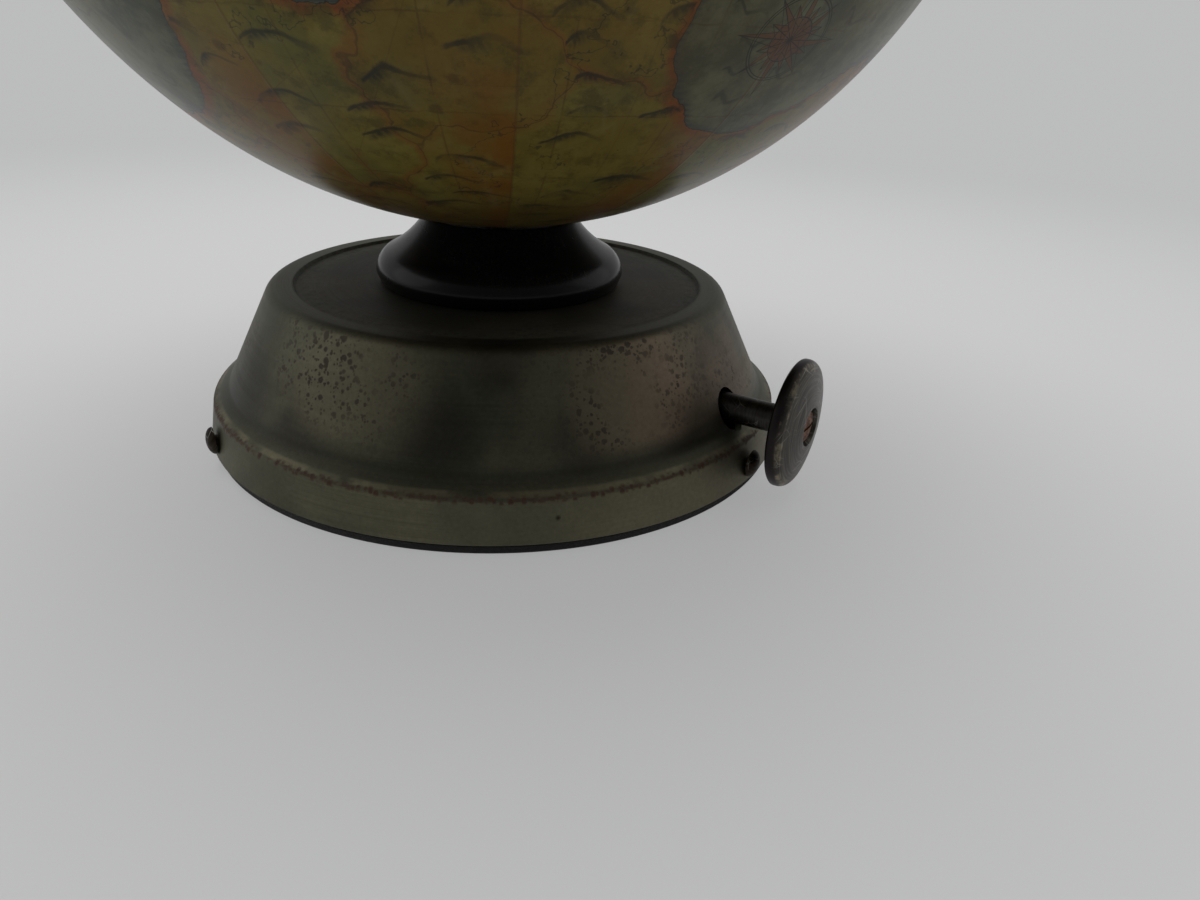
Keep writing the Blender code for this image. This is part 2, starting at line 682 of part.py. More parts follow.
def make_bedplate(shaft_frame):
    """Flat bed with a window under the barrel, four bent-up ears and the bar under the comb."""
    foot = BEDPLATE_LEVEL - BEDPLATE_THICKNESS
    right = BARREL_TIP_R + BEDPLATE_MARGIN
    plate = block((-BEDPLATE_SIDE, foot, FLY_EAR), (right, BEDPLATE_LEVEL, FRONT_EAR + BEDPLATE_MARGIN))
    bed = part("movement_bedplate", plate, "bright_steel", shaft_frame)
    head = ARBOR_R + EAR_HEAD
    fine = FINE_ARBOR_R + EAR_HEAD
    fly_top = FLY_OFFSET + fine
    bar_top = -COMB_THICKNESS / 2 - SEAT_GAP
    bar = block(
        (-COMB_BACK, BEDPLATE_LEVEL - BEDPLATE_THICKNESS / 2, CYLINDER_BACK),
        (COMB_HEEL - COMB_BACK, bar_top, CYLINDER_FRONT),
    )
    adders = (
        ear(0, -CYLINDER_OFFSET - fine, head, FRONT_EAR, head),
        ear(0, -head, head, MIDDLE_EAR, head),
        ear(-CYLINDER_OFFSET, -fine, fine, BACK_EAR, fly_top),
        ear(-CYLINDER_OFFSET, -fine, fine, FLY_EAR, fly_top),
        bar,
    )
    for index, shape in enumerate(adders):
        fuse(bed, tool(f"bed_adder_{index}", shape, shaft_frame))
    for index, shape in enumerate(bedplate_holes()):
        cut(bed, tool(f"bed_cutter_{index}", shape, shaft_frame))
    return bed


def bedplate_holes():
    """Window, bearing holes and screw holes of the bedplate."""
    reach = BARREL_TIP_R + POCKET_CLEARANCE
    window = block(
        (-reach, BEDPLATE_LEVEL - CUT_OVERRUN, BARREL_WHEEL - RUN_GAP),
        (reach, BEDPLATE_LEVEL + CUT_OVERRUN, DRUM_FRONT),
    )
    thick = rod(ARBOR_R + ARBOR_CLEARANCE, MIDDLE_EAR - CUT_OVERRUN, FRONT_EAR + CUT_OVERRUN)
    fine_r = FINE_ARBOR_R + ARBOR_CLEARANCE
    thin = moved(
        rod(fine_r, BACK_EAR - CUT_OVERRUN / 2, FRONT_EAR + CUT_OVERRUN),
        Matrix.Translation((-CYLINDER_OFFSET, 0, 0)),
    )
    fly = moved(
        rod(fine_r, FLY_EAR - CUT_OVERRUN, BACK_EAR + CUT_OVERRUN),
        Matrix.Translation((-CYLINDER_OFFSET, FLY_OFFSET, 0)),
    )
    screw_r = BED_SCREW_R + SEAT_GAP
    high = BEDPLATE_TOP - BOARD_FOOT + CUT_OVERRUN
    screws = [upright(rod(screw_r, BOARD_THICKNESS / 2, high), *place) for place in bed_screw_places()]
    blind = (COMB_SCREW_R + SEAT_GAP, -COMB_SCREW_LENGTH - SEAT_GAP, CUT_OVERRUN)
    comb = [comb_screw_place(index, rod(*blind)) for index in range(COMB_SCREW_COUNT)]
    return [window, thick, thin, fly, gathered(screws + comb)]


def comb_screw_place(index, shape):
    """Puts a comb screw's shape, made along Z from the comb's top, on the comb's heel."""
    station = CYLINDER_BACK + CYLINDER_LENGTH * (index + 1) / (COMB_SCREW_COUNT + 1)
    spot = (COMB_HEEL / 2 - COMB_BACK, COMB_THICKNESS / 2, station)
    return moved(shape, Matrix.Translation(spot) @ Matrix.Rotation(-math.pi / 2, 4, "X"))


def comb_outline():
    """Heel and tuned teeth of the comb as (side, station), the low notes with the longest teeth."""
    step = CYLINDER_LENGTH / (PIN_ROWS + 1)
    gap = step * COMB_TOOTH_GAP_SHARE / 2
    root = COMB_HEEL - COMB_BACK
    points = [(-COMB_BACK, CYLINDER_FRONT), (-COMB_BACK, CYLINDER_BACK)]
    for row in range(PIN_ROWS):
        middle = CYLINDER_BACK + step * (row + 1)
        depth = root + COMB_ROOT_SLANT * row / PIN_ROWS
        low = middle - step / 2 + gap
        high = middle + step / 2 - gap
        points += [(depth, low), (-COMB_TIP, low), (-COMB_TIP, high), (depth, high)]
    return points


def make_tone_comb(shaft_frame):
    outline = [(side, -station) for side, station in comb_outline()]
    flat = prism(outline, -COMB_THICKNESS / 2, COMB_THICKNESS / 2)
    plate = moved(flat, Matrix.Rotation(-math.pi / 2, 4, "X"))
    comb = part("tone_comb", plate, "bright_steel", shaft_frame)
    through = (COMB_SCREW_R + SEAT_GAP, -COMB_THICKNESS - CUT_OVERRUN, CUT_OVERRUN)
    holes = [comb_screw_place(index, rod(*through)) for index in range(COMB_SCREW_COUNT)]
    cut(comb, tool("comb_hole_cutter", gathered(holes), shaft_frame))
    return comb


def make_movement_fasteners(shaft_frame):
    for index in range(COMB_SCREW_COUNT):
        screw = dome_screw(
            COMB_SCREW_R, COMB_SCREW_LENGTH, COMB_SCREW_HEAD_R, COMB_SCREW_HEAD_HEIGHT, SEAT_GAP
        )
        part(f"comb_screw_{index + 1}", comb_screw_place(index, screw), "dark_steel", shaft_frame)
    top = BEDPLATE_TOP - BOARD_FOOT
    outline = [
        (0, 0),
        (BED_SCREW_HEAD_R, 0),
        (BED_SCREW_HEAD_R, BED_SCREW_HEAD_HEIGHT),
        (BED_SCREW_R, BED_SCREW_HEAD_HEIGHT),
        (BED_SCREW_R, top),
        (0, top),
    ]
    for index, place in enumerate(bed_screw_places()):
        screw = upright(turned(outline, SMALL_SEGMENTS), *place)
        part(f"movement_screw_{index + 1}", screw, "dark_steel", shaft_frame)


# Winding shaft and knob


def make_winding_shaft(shaft_frame):
    """Thin arbor through the barrel, thick outside the movement, bored for the knob's screw."""
    step = FRONT_EAR + EAR_THICKNESS + RUN_GAP
    end = KNOB_BACK - SEAT_GAP
    bore = KNOB_SCREW_R + SEAT_GAP
    deep = end - KNOB_SCREW_LENGTH - SEAT_GAP
    outline = [
        (0, MIDDLE_EAR - RUN_GAP),
        (ARBOR_R, MIDDLE_EAR - RUN_GAP),
        (ARBOR_R, step),
        (SHAFT_R, step),
        (SHAFT_R, end),
        (bore, end),
        (bore, deep),
        (0, deep),
    ]
    return part("winding_shaft", turned(outline, GLASS_SEGMENTS), "dark_steel", shaft_frame)


def knob_dome(edge, steps):
    """Points of the domed face, from the end of its rounded edge in to the recess."""
    (edge_r, edge_z), rise = edge, KNOB_FACE - edge[1]
    radii = [edge_r + (KNOB_RECESS_R - edge_r) * step / steps for step in range(1, steps + 1)]
    span = edge_r**2 - KNOB_RECESS_R**2
    return [(radius, edge_z + rise * (edge_r**2 - radius**2) / span) for radius in radii]


def make_winding_knob(shaft_frame):
    """Turned knob with a sharp back, a rounded edge, a domed face and a centre recess."""
    bore = KNOB_SCREW_R + SEAT_GAP
    side_foot = KNOB_BACK + KNOB_BACK_CHAMFER
    bend = (KNOB_R - KNOB_EDGE_WIDTH, side_foot + KNOB_SIDE_HEIGHT)
    edge = arc(bend, (KNOB_EDGE_WIDTH, KNOB_EDGE_HEIGHT), 0, KNOB_EDGE_SWEEP, ARC_STEPS + 1)
    floor = KNOB_FACE - KNOB_RECESS_DEPTH
    outline = [(bore, KNOB_BACK), (KNOB_R - KNOB_BACK_CHAMFER, KNOB_BACK), (KNOB_R, side_foot)]
    outline += edge + knob_dome(edge[-1], ARC_STEPS)
    outline += [(KNOB_RECESS_R, floor), (bore, floor)]
    return part("winding_knob", turned(outline, KNOB_SEGMENTS), "dark_steel", shaft_frame)


def make_knob_screw(shaft_frame):
    seat = KNOB_FACE - KNOB_RECESS_DEPTH + SEAT_GAP
    length = KNOB_THICKNESS - KNOB_RECESS_DEPTH + KNOB_SCREW_LENGTH
    shape = dome_screw(KNOB_SCREW_R, length, KNOB_SCREW_HEAD_R, KNOB_SCREW_HEAD_HEIGHT, seat)
    screw = part("knob_screw", shape, "copper", shaft_frame)
    slot_foot = seat + KNOB_SCREW_HEAD_HEIGHT - KNOB_SLOT_DEPTH
    slot = block(
        (-KNOB_SCREW_HEAD_R - CUT_OVERRUN, -KNOB_SLOT_WIDTH / 2, slot_foot),
        (KNOB_SCREW_HEAD_R + CUT_OVERRUN, KNOB_SLOT_WIDTH / 2, slot_foot + CUT_OVERRUN),
    )
    cut(screw, tool("knob_slot_cutter", slot, shaft_frame))
    return screw


# Globe


def sphere_points(radius, start_height, end_radius, direction):
    """Meridian points from a height at the equator to a radius near the pole."""
    start = math.asin(start_height / radius)
    end = math.acos(end_radius / radius)
    return arc((0, 0), (radius, radius * direction), start, end, GLOBE_SEGMENTS // 4)


def height_at(outline, radius):
    """Height of an outline that rises outwards, at a radius."""
    for (r1, z1), (r2, z2) in zip(outline, outline[1:]):
        if min(r1, r2) <= radius <= max(r1, r2):
            return z1 + (z2 - z1) * (radius - r1) / (r2 - r1)
    return outline[-1][1]


def wall_inside(side, height):
    """Distance of the inner wall from the axis, square to the hinge, at this side and height."""
    meridian = sphere_points(GLOBE_INNER_R, SHELL_EDGE, PIVOT_HOLE_R, 1)
    swapped = [(z, r) for r, z in meridian]
    return height_at(swapped, height) - side * math.tan(HINGE_HALF_SPAN / 2)


def globe_shell_outline(pole_r, direction):
    outside = sphere_points(GLOBE_R, SHELL_EDGE, pole_r, direction)
    inside = sphere_points(GLOBE_INNER_R, SHELL_EDGE, pole_r, direction)
    return outside + inside[::-1]


def make_collar():
    """Turned black collar with a hollow seat for the globe."""
    foot = DISC_TOP + SEAT_GAP
    seat_r = GLOBE_R + SEAT_GAP * 2
    side = (COLLAR_SIDE_R, foot + COLLAR_SIDE_HEIGHT)
    corner = (COLLAR_SIDE_R, foot + COLLAR_CORNER_HEIGHT)
    neck_z = GLOBE_Z - math.sqrt(seat_r**2 - COLLAR_NECK_R**2)
    waist = (
        (COLLAR_SIDE_R + COLLAR_NECK_R) / 2 - COLLAR_WAIST,
        (corner[1] + neck_z) / 2 - COLLAR_WAIST,
    )
    edge = rounded(side, corner, waist, COLLAR_EDGE_RADIUS, ARC_STEPS)
    bore = PIVOT_HOLE_R
    angles = [math.asin(radius / seat_r) for radius in (COLLAR_NECK_R, bore)]
    seat = arc((0, GLOBE_Z), (seat_r, -seat_r), math.pi / 2 - angles[0], math.pi / 2 - angles[1], ARC_STEPS)
    outline = [(bore, foot), (COLLAR_FOOT_R, foot), side] + edge + [waist] + seat
    return part("collar", turned(outline, GLOBE_SEGMENTS), "black_plastic")


def make_pivot():
    """Bolt, washers and nut that hold the globe down and let it turn."""
    bowl = sphere_points(GLOBE_INNER_R, SHELL_EDGE, PIVOT_HOLE_R, -1)
    pole_washer_foot = GLOBE_Z + height_at(bowl, PIVOT_WASHER_R) + SEAT_GAP
    head_seat = pole_washer_foot + PIVOT_WASHER_THICKNESS + SEAT_GAP
    nut_top = DISC_UNDERSIDE - SPRING_WASHER_THICKNESS - SEAT_GAP * 2
    tail = nut_top - NUT_HEIGHT - PIVOT_TAIL
    pole_washer = ring(PIVOT_HOLE_R, PIVOT_WASHER_R, PIVOT_WASHER_THICKNESS, GLASS_SEGMENTS)
    part("pole_washer", pole_washer, "brass", location=(0, 0, pole_washer_foot))
    bolt = dome_screw(PIVOT_R, head_seat - tail, PIVOT_HEAD_R, PIVOT_HEAD_HEIGHT, head_seat)
    part("pivot_bolt", bolt, "bright_steel")
    spring_washer = ring(PIVOT_HOLE_R, SPRING_WASHER_R, SPRING_WASHER_THICKNESS, SMALL_SEGMENTS)
    part("spring_washer", spring_washer, "bright_steel", location=(0, 0, nut_top + SEAT_GAP))
    nut = part("pivot_nut", rod(NUT_R, -NUT_HEIGHT, 0, NUT_SIDES), "bright_steel", location=(0, 0, nut_top))
    nut_bore = rod(PIVOT_HOLE_R, -NUT_HEIGHT - CUT_OVERRUN, CUT_OVERRUN)
    cut(nut, tool("nut_bore_cutter", nut_bore, None, (0, 0, nut_top)))


def make_lower_globe(rivet_tool):
    place = (0, 0, GLOBE_Z)
    bowl = turned(globe_shell_outline(PIVOT_HOLE_R, -1), GLOBE_SEGMENTS)
    shell = part("lower_shell", bowl, "map_print", location=place)
    cut(shell, rivet_tool)
    flange_foot = -RIM_PARTING - RIM_FLANGE
    ledge_r = LIP_INNER_R - LEDGE_WIDTH
    ledge_foot = LEDGE_TOP - LEDGE_THICKNESS
    rim = [
        (LIP_OUTER_R, ledge_foot),
        (LIP_OUTER_R, flange_foot),
        (GLOBE_R, flange_foot),
        (GLOBE_R, -RIM_PARTING),
        (LIP_OUTER_R, -RIM_PARTING),
        (LIP_OUTER_R, LIP_HEIGHT),
        (LIP_INNER_R, LIP_HEIGHT),
        (LIP_INNER_R, LEDGE_TOP),
        (ledge_r, LEDGE_TOP),
        (ledge_r, ledge_foot),
    ]
    part("lower_rim", turned(rim, GLOBE_SEGMENTS), "rim_gold", location=place)


def make_lid(lid_frame, rivet_tool, knob_bore):
    place = (0, -HINGE_Y, 0)
    outside = sphere_points(GLOBE_R, SHELL_EDGE, 0, 1)
    inside = sphere_points(GLOBE_INNER_R, SHELL_EDGE, 0, 1)
    outline = [(0, GLOBE_R)] + outside[-2::-1] + inside[:-1] + [(0, GLOBE_INNER_R)]
    shell = part("upper_shell", turned(outline, GLOBE_SEGMENTS), "map_print", lid_frame, place)
    cut(shell, rivet_tool, knob_bore)
    flange_top = RIM_PARTING + RIM_FLANGE
    rim = [
        (UPSTAND_INNER_R, RIM_PARTING),
        (GLOBE_R, RIM_PARTING),
        (GLOBE_R, flange_top),
        (UPSTAND_OUTER_R, flange_top),
        (UPSTAND_OUTER_R, UPSTAND_HEIGHT),
        (UPSTAND_INNER_R, UPSTAND_HEIGHT),
    ]
    part("upper_rim", turned(rim, GLOBE_SEGMENTS), "rim_gold", lid_frame, place)


# Hinge


def leaf_blank(direction):
    """A leaf bent to the globe, above or below the parting."""
    ends = sorted((direction * RIM_PARTING, direction * LEAF_HEIGHT))
    outline = [
        (LEAF_INNER_R, ends[0]),
        (LEAF_OUTER_R, ends[0]),
        (LEAF_OUTER_R, ends[1]),
        (LEAF_INNER_R, ends[1]),
    ]
    return turned(outline, 2, 2 * HINGE_HALF_SPAN, math.pi / 2 - HINGE_HALF_SPAN)


def across(shape, y, z):
    """Turns a shape made along Z to lie along X at the hinge."""
    return moved(shape, Matrix.Translation((0, y, z)) @ Matrix.Rotation(math.pi / 2, 4, "Y"))


def knuckle_ranges():
    """Stretches along X of the centre knuckle and of the two outer ones."""
    centre = CENTRE_KNUCKLE / 2
    inner = centre + SEAT_GAP
    outer = KNUCKLE_ROW / 2
    return [(-centre, centre)], [(-outer, -inner), (inner, outer)]


def make_leaf(name, direction, own, others, parent, place, rivet_tool):
    """One hinge leaf: bent plate, knuckles, notches for the other leaf's knuckles and the pin's hole."""
    leaf = part(name, leaf_blank(direction), "brass", parent, place)
    relief = KNUCKLE_R + KNUCKLE_RELIEF
    near, far = LEAF_INNER_R - CUT_OVERRUN, LEAF_OUTER_R + CUT_OVERRUN
    for index, (low, high) in enumerate(others):
        notch = block((low - SEAT_GAP, near, -relief), (high + SEAT_GAP, far, relief))
        cut(leaf, tool(f"{name}_notch_{index}", notch, parent, place))
    for index, (low, high) in enumerate(own):
        knuckle = across(rod(KNUCKLE_R, low, high), HINGE_Y, 0)
        fuse(leaf, tool(f"{name}_knuckle_{index}", knuckle, parent, place))
    bore = rod(HINGE_PIN_R + HINGE_PIN_CLEARANCE, -KNUCKLE_ROW, KNUCKLE_ROW)
    cut(leaf, tool(f"{name}_bore", across(bore, HINGE_Y, 0), parent, place), rivet_tool)
    return leaf


def rivet_shapes(direction, profile):
    """Rivet shapes of one leaf, each made from the profile along Y."""
    spots = [(side * RIVET_SPREAD, 0, direction * RIVET_HEIGHT) for side in (-1, 1)]
    turn = Matrix.Rotation(-math.pi / 2, 4, "X")
    return [moved(turned(profile, SMALL_SEGMENTS), Matrix.Translation(spot) @ turn) for spot in spots]


def rivet_profile():
    """Domed head on the leaf, shank through the wall, peened tail inside it."""
    slope = math.tan(HINGE_HALF_SPAN / 2)
    head_foot = LEAF_OUTER_R - (RIVET_SPREAD - RIVET_HEAD_R) * slope + SEAT_GAP
    tail_top = wall_inside(RIVET_SPREAD + RIVET_TAIL_R, RIVET_HEIGHT + RIVET_TAIL_R) - SEAT_GAP
    tail_foot = tail_top - RIVET_TAIL_HEIGHT
    head = arc((0, head_foot), (RIVET_HEAD_R, RIVET_HEAD_HEIGHT), 0, math.pi / 2, DOME_STEPS)[:-1]
    tail = [(0, tail_foot), (RIVET_TAIL_R, tail_foot), (RIVET_TAIL_R, tail_top)]
    shank = [(RIVET_R, tail_top), (RIVET_R, head_foot)]
    return tail + shank + head + [(0, head_foot + RIVET_HEAD_HEIGHT)]


def make_hinge(lid_frame):
    """Both leaves, the pin and the rivets; returns the tools that drill the two shells."""
    globe_place = (0, 0, GLOBE_Z)
    lid_place = (0, -HINGE_Y, 0)
    hole_r = RIVET_R + SEAT_GAP
    low, high = GLOBE_INNER_R - CUT_OVERRUN, LEAF_OUTER_R + CUT_OVERRUN
    hole = [(0, low), (hole_r, low), (hole_r, high), (0, high)]
    lower_tool = tool("lower_rivet_cutter", gathered(rivet_shapes(-1, hole)), None, globe_place)
    upper_tool = tool("upper_rivet_cutter", gathered(rivet_shapes(1, hole)), lid_frame, lid_place)
    centre, outer = knuckle_ranges()
    make_leaf("hinge_leaf_lower", -1, outer, centre, None, globe_place, lower_tool)
    make_leaf("hinge_leaf_upper", 1, centre, outer, lid_frame, lid_place, upper_tool)
    for index, shape in enumerate(rivet_shapes(-1, rivet_profile())):
        part(f"hinge_rivet_lower_{index + 1}", shape, "brass", None, globe_place)
    for index, shape in enumerate(rivet_shapes(1, rivet_profile())):
        part(f"hinge_rivet_upper_{index + 1}", shape, "brass", lid_frame, lid_place)
    end = KNUCKLE_ROW / 2 + SEAT_GAP
    cap = end + HINGE_PIN_HEAD_HEIGHT
    half = [(HINGE_PIN_R, end), (HINGE_PIN_HEAD_R, end), (HINGE_PIN_HEAD_R, cap), (0, cap)]
    outline = [(radius, -station) for radius, station in half[::-1]] + half
    pin = across(turned(outline, SMALL_SEGMENTS), 0, 0)
    part("hinge_pin", pin, "bright_steel", location=(0, HINGE_Y, GLOBE_Z))
    return lower_tool, upper_tool


# Lid knob


def make_lid_knob(lid_frame):
    """Knob on the front of the lid and its screw from inside; returns the tool that drills the lid."""
    place = (0, -HINGE_Y, 0)
    face = math.sqrt(GLOBE_R**2 - (LID_KNOB_HEIGHT - LID_KNOB_BASE_R) ** 2) + SEAT_GAP
    bore = LID_SCREW_R + SEAT_GAP
    grip_end = face + LID_SCREW_GRIP + SEAT_GAP
    end = face + LID_KNOB_LENGTH
    middle = (0, end - LID_KNOB_R)
    ball = arc(middle, (LID_KNOB_R, LID_KNOB_R), -math.pi / 4, math.pi / 2, ARC_STEPS + 2)[:-1]
    outline = [(0, grip_end), (bore, grip_end), (bore, face), (LID_KNOB_BASE_R, face)]
    outline += [(LID_KNOB_WAIST_R, (face + ball[0][1]) / 2)] + ball + [(0, end)]
    front = Matrix.Translation((0, 0, LID_KNOB_HEIGHT)) @ Matrix.Rotation(math.pi / 2, 4, "X")
    part("lid_knob", moved(turned(outline, GLASS_SEGMENTS), front), "brass", lid_frame, place)
    seat = wall_inside(LID_SCREW_HEAD_R, LID_KNOB_HEIGHT + LID_SCREW_HEAD_R) - SEAT_GAP
    screw = [
        (0, seat - LID_SCREW_HEAD_HEIGHT),
        (LID_SCREW_HEAD_R, seat - LID_SCREW_HEAD_HEIGHT),
        (LID_SCREW_HEAD_R, seat),
        (LID_SCREW_R, seat),
        (LID_SCREW_R, face + LID_SCREW_GRIP),
        (0, face + LID_SCREW_GRIP),
    ]
    part("lid_knob_screw", moved(turned(screw, SMALL_SEGMENTS), front), "bright_steel", lid_frame, place)
    drill = rod(bore, seat - CUT_OVERRUN, face + CUT_OVERRUN)
    return tool("knob_bore_cutter", moved(drill, front), lid_frame, place)


# Tray, decanter and glasses


def glass_outer_r(height):
    """Outer radius of a glass at a height above its foot."""
    return GLASS_FOOT_R + (GLASS_TOP_R - GLASS_FOOT_R) * height / GLASS_HEIGHT


def decanter_hole_r():
    return DECANTER_R + WELL_CLEARANCE + WELL_WALL + SEAT_GAP


def glass_spots():
    step = FULL_TURN / GLASS_COUNT
    angles = [GLASS_START + step * index for index in range(GLASS_COUNT)]
    pitch_r = (decanter_hole_r() + TRAY_R) / 2 + GLASS_OUTSET
    return [(pitch_r * math.cos(a), pitch_r * math.sin(a)) for a in angles]


def glass_well_r():
    """Inner radius of the well that holds a glass."""
    return glass_outer_r(GLASS_WELL_DEPTH) + WELL_CLEARANCE


def make_tray():
    """The plate, with a hole for each well."""
    place = (0, 0, GLOBE_Z)
    plate = rod(TRAY_R, TRAY_FOOT, TRAY_TOP, GLOBE_SEGMENTS)
    tray = part("tray", plate, "tray_flock", location=place)
    grow = WELL_WALL + SEAT_GAP
    low, high = TRAY_FOOT - CUT_OVERRUN, TRAY_TOP + CUT_OVERRUN
    holes = [rod(decanter_hole_r(), low, high, GLOBE_SEGMENTS)]
    for x, y in glass_spots():
        hole = rod(glass_well_r() + grow, low, high, GLASS_SEGMENTS)
        holes.append(moved(hole, Matrix.Translation((x, y, 0))))
    cut(tray, tool("well_cutter", gathered(holes), None, place))
    return tray


def make_well(name, radius, depth, spot, segments):
    """A cup that hangs in the tray by the flange round its mouth."""
    seat = TRAY_TOP + SEAT_GAP
    mouth = seat + WELL_FLANGE_THICKNESS
    floor = TRAY_TOP - depth
    wall_r = radius + WELL_WALL
    flange_r = wall_r + WELL_FLANGE_WIDTH
    outside = [(0, floor - WELL_WALL), (wall_r, floor - WELL_WALL), (wall_r, seat), (flange_r, seat)]
    inside = [(flange_r, mouth), (radius, mouth), (radius, floor), (0, floor)]
    return part(name, turned(outside + inside, segments), "tray_flock", location=(*spot, GLOBE_Z))


def make_wells():
    radius = DECANTER_R + WELL_CLEARANCE
    make_well("decanter_well", radius, DECANTER_WELL_DEPTH, (0, 0), GLOBE_SEGMENTS)
    for index, spot in enumerate(glass_spots()):
        make_well(f"glass_well_{index + 1}", glass_well_r(), GLASS_WELL_DEPTH, spot, GLASS_SEGMENTS)


def make_glasses():
    foot = GLOBE_Z + TRAY_TOP - GLASS_WELL_DEPTH + SEAT_GAP
    inner_foot_r = glass_outer_r(GLASS_FLOOR) - GLASS_WALL
    outline = [
        (0, 0),
        (GLASS_FOOT_R, 0),
        (GLASS_TOP_R, GLASS_HEIGHT),
        (GLASS_TOP_R - GLASS_WALL, GLASS_HEIGHT),
        (inner_foot_r, GLASS_FLOOR),
        (0, GLASS_FLOOR),
    ]
    for index, (x, y) in enumerate(glass_spots()):
        part(f"glass_{index + 1}", turned(outline, GLASS_SEGMENTS), "clear_glass", location=(x, y, foot))


def decanter_heights():
    """Heights above the decanter's foot: body top, neck foot, lip foot, mouth."""
    body = DECANTER_BODY_HEIGHT
    neck = body + DECANTER_SHOULDER_HEIGHT
    lip = neck + NECK_HEIGHT
    return body, neck, lip, lip + NECK_LIP_HEIGHT


def make_decanter():
    foot = GLOBE_Z + TRAY_TOP - DECANTER_WELL_DEPTH + SEAT_GAP
    body, neck, lip, mouth = decanter_heights()
    shoulder = DECANTER_R - NECK_R
    bulge = arc((NECK_R, body), (shoulder, DECANTER_SHOULDER_HEIGHT), 0, math.pi / 2, ARC_STEPS)
    outside = [(0, 0), (DECANTER_R - DECANTER_FOOT_CHAMFER, 0), (DECANTER_R, DECANTER_FOOT_CHAMFER)]
    outside += bulge + [(NECK_R, lip), (NECK_LIP_R, lip), (NECK_LIP_R, mouth)]
    bore = NECK_R - DECANTER_WALL
    inner_r = DECANTER_R - DECANTER_WALL
    hollow = arc(
        (bore, body), (inner_r - bore, DECANTER_SHOULDER_HEIGHT - DECANTER_WALL), 0, math.pi / 2, ARC_STEPS
    )
    inside = [(bore, mouth)] + hollow[::-1] + [(inner_r, DECANTER_FLOOR), (0, DECANTER_FLOOR)]
    part("decanter", turned(outside + inside, DECANTER_SEGMENTS), "clear_glass", location=(0, 0, foot))
    seat = mouth + SEAT_GAP
    plug = bore - SEAT_GAP * 2
    flange_r = NECK_LIP_R - STOPPER_FLANGE_INSET
    ball_foot = seat + STOPPER_FLANGE_HEIGHT
    ball_z = ball_foot + STOPPER_BALL_R * math.cos(math.pi / 6)
    ball = arc((0, ball_z), (STOPPER_BALL_R, STOPPER_BALL_R), -math.pi / 3, math.pi / 2, ARC_STEPS + 2)[:-1]
    outline = [
        (0, seat - STOPPER_PLUG_LENGTH),
        (plug - STOPPER_PLUG_TAPER, seat - STOPPER_PLUG_LENGTH),
        (plug, seat),
        (flange_r, seat),
        (flange_r, ball_foot),
    ]
    outline += ball + [(0, ball_z + STOPPER_BALL_R)]
    part("stopper", turned(outline, GLASS_SEGMENTS), "clear_glass", location=(0, 0, foot))


def main():
    clear_scene()
    shaft_frame = frame("shaft_frame", (0, 0, SHAFT_Z), outward(SHAFT_AZIMUTH))
    lid_frame = frame("lid_frame", (0, HINGE_Y, GLOBE_Z))
    make_felt_pad()
    make_base_board(shaft_frame)
    make_base_shell(shaft_frame)
    make_side_screws()
    make_collar()
    make_pivot()
    make_bedplate(shaft_frame)
    make_tone_comb(shaft_frame)
    make_movement_fasteners(shaft_frame)
    make_spring_barrel(shaft_frame)
    make_pin_cylinder(shaft_frame)
    make_governor_fly(shaft_frame)
    make_winding_shaft(shaft_frame)
    make_winding_knob(shaft_frame)
    make_knob_screw(shaft_frame)
    lower_tool, upper_tool = make_hinge(lid_frame)
    knob_bore = make_lid_knob(lid_frame)
    make_lower_globe(lower_tool)
    make_lid(lid_frame, upper_tool, knob_bore)
    make_tray()
    make_wells()
    make_decanter()
    make_glasses()


main()
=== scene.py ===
import math

import bpy
from mathutils import Matrix, Vector


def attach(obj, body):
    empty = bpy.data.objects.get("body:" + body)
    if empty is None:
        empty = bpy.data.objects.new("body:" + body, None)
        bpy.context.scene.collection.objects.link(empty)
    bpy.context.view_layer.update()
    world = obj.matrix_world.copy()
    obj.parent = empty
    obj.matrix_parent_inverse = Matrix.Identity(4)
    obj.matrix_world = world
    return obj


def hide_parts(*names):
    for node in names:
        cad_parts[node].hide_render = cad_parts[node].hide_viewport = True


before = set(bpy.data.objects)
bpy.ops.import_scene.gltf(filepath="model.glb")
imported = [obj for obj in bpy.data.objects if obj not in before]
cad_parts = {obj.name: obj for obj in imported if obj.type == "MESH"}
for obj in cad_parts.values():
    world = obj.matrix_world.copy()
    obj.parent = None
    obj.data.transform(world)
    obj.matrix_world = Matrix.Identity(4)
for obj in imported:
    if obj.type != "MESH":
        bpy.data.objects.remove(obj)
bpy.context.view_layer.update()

FULL_TURN = 2 * math.pi
QUARTER = math.pi / 2
WELD = 0.000002
FINE_EDGE = 0.0002
THIN_EDGE = 0.0003
SOFT_EDGE = 0.0004
SMOOTH_ANGLE = math.radians(30)

# Fineness of the turned pieces
LARGE_STEPS = 160
MEDIUM_STEPS = 96
SMALL_STEPS = 48
TINY_STEPS = 28
DOME_STEPS = 10
SHELL_STEPS = 56
LEAF_STEPS = 12

# Base
FELT_THICKNESS = 0.0025
FELT_R = 0.0854
FELT_EDGE = 0.0005
BOARD_FOOT = 0.0028
BAND_R = 0.0866
CREASE_R = 0.0848
CREASE_Z = 0.0140
KINK_R = 0.0804
KINK_Z = 0.0172
COVE_RADIUS = 0.0045
STEP_EDGE_RADIUS = 0.0012
CONE_TOP_R = 0.0665
BASE_TOP = 0.0452
TOP_EDGE_RADIUS = 0.0045
RECESS_R = 0.0599
RECESS_SLOPE = 0.0006
DISC_TOP = 0.0443
SHEET = 0.0012
PIVOT_HOLE_R = 0.0033

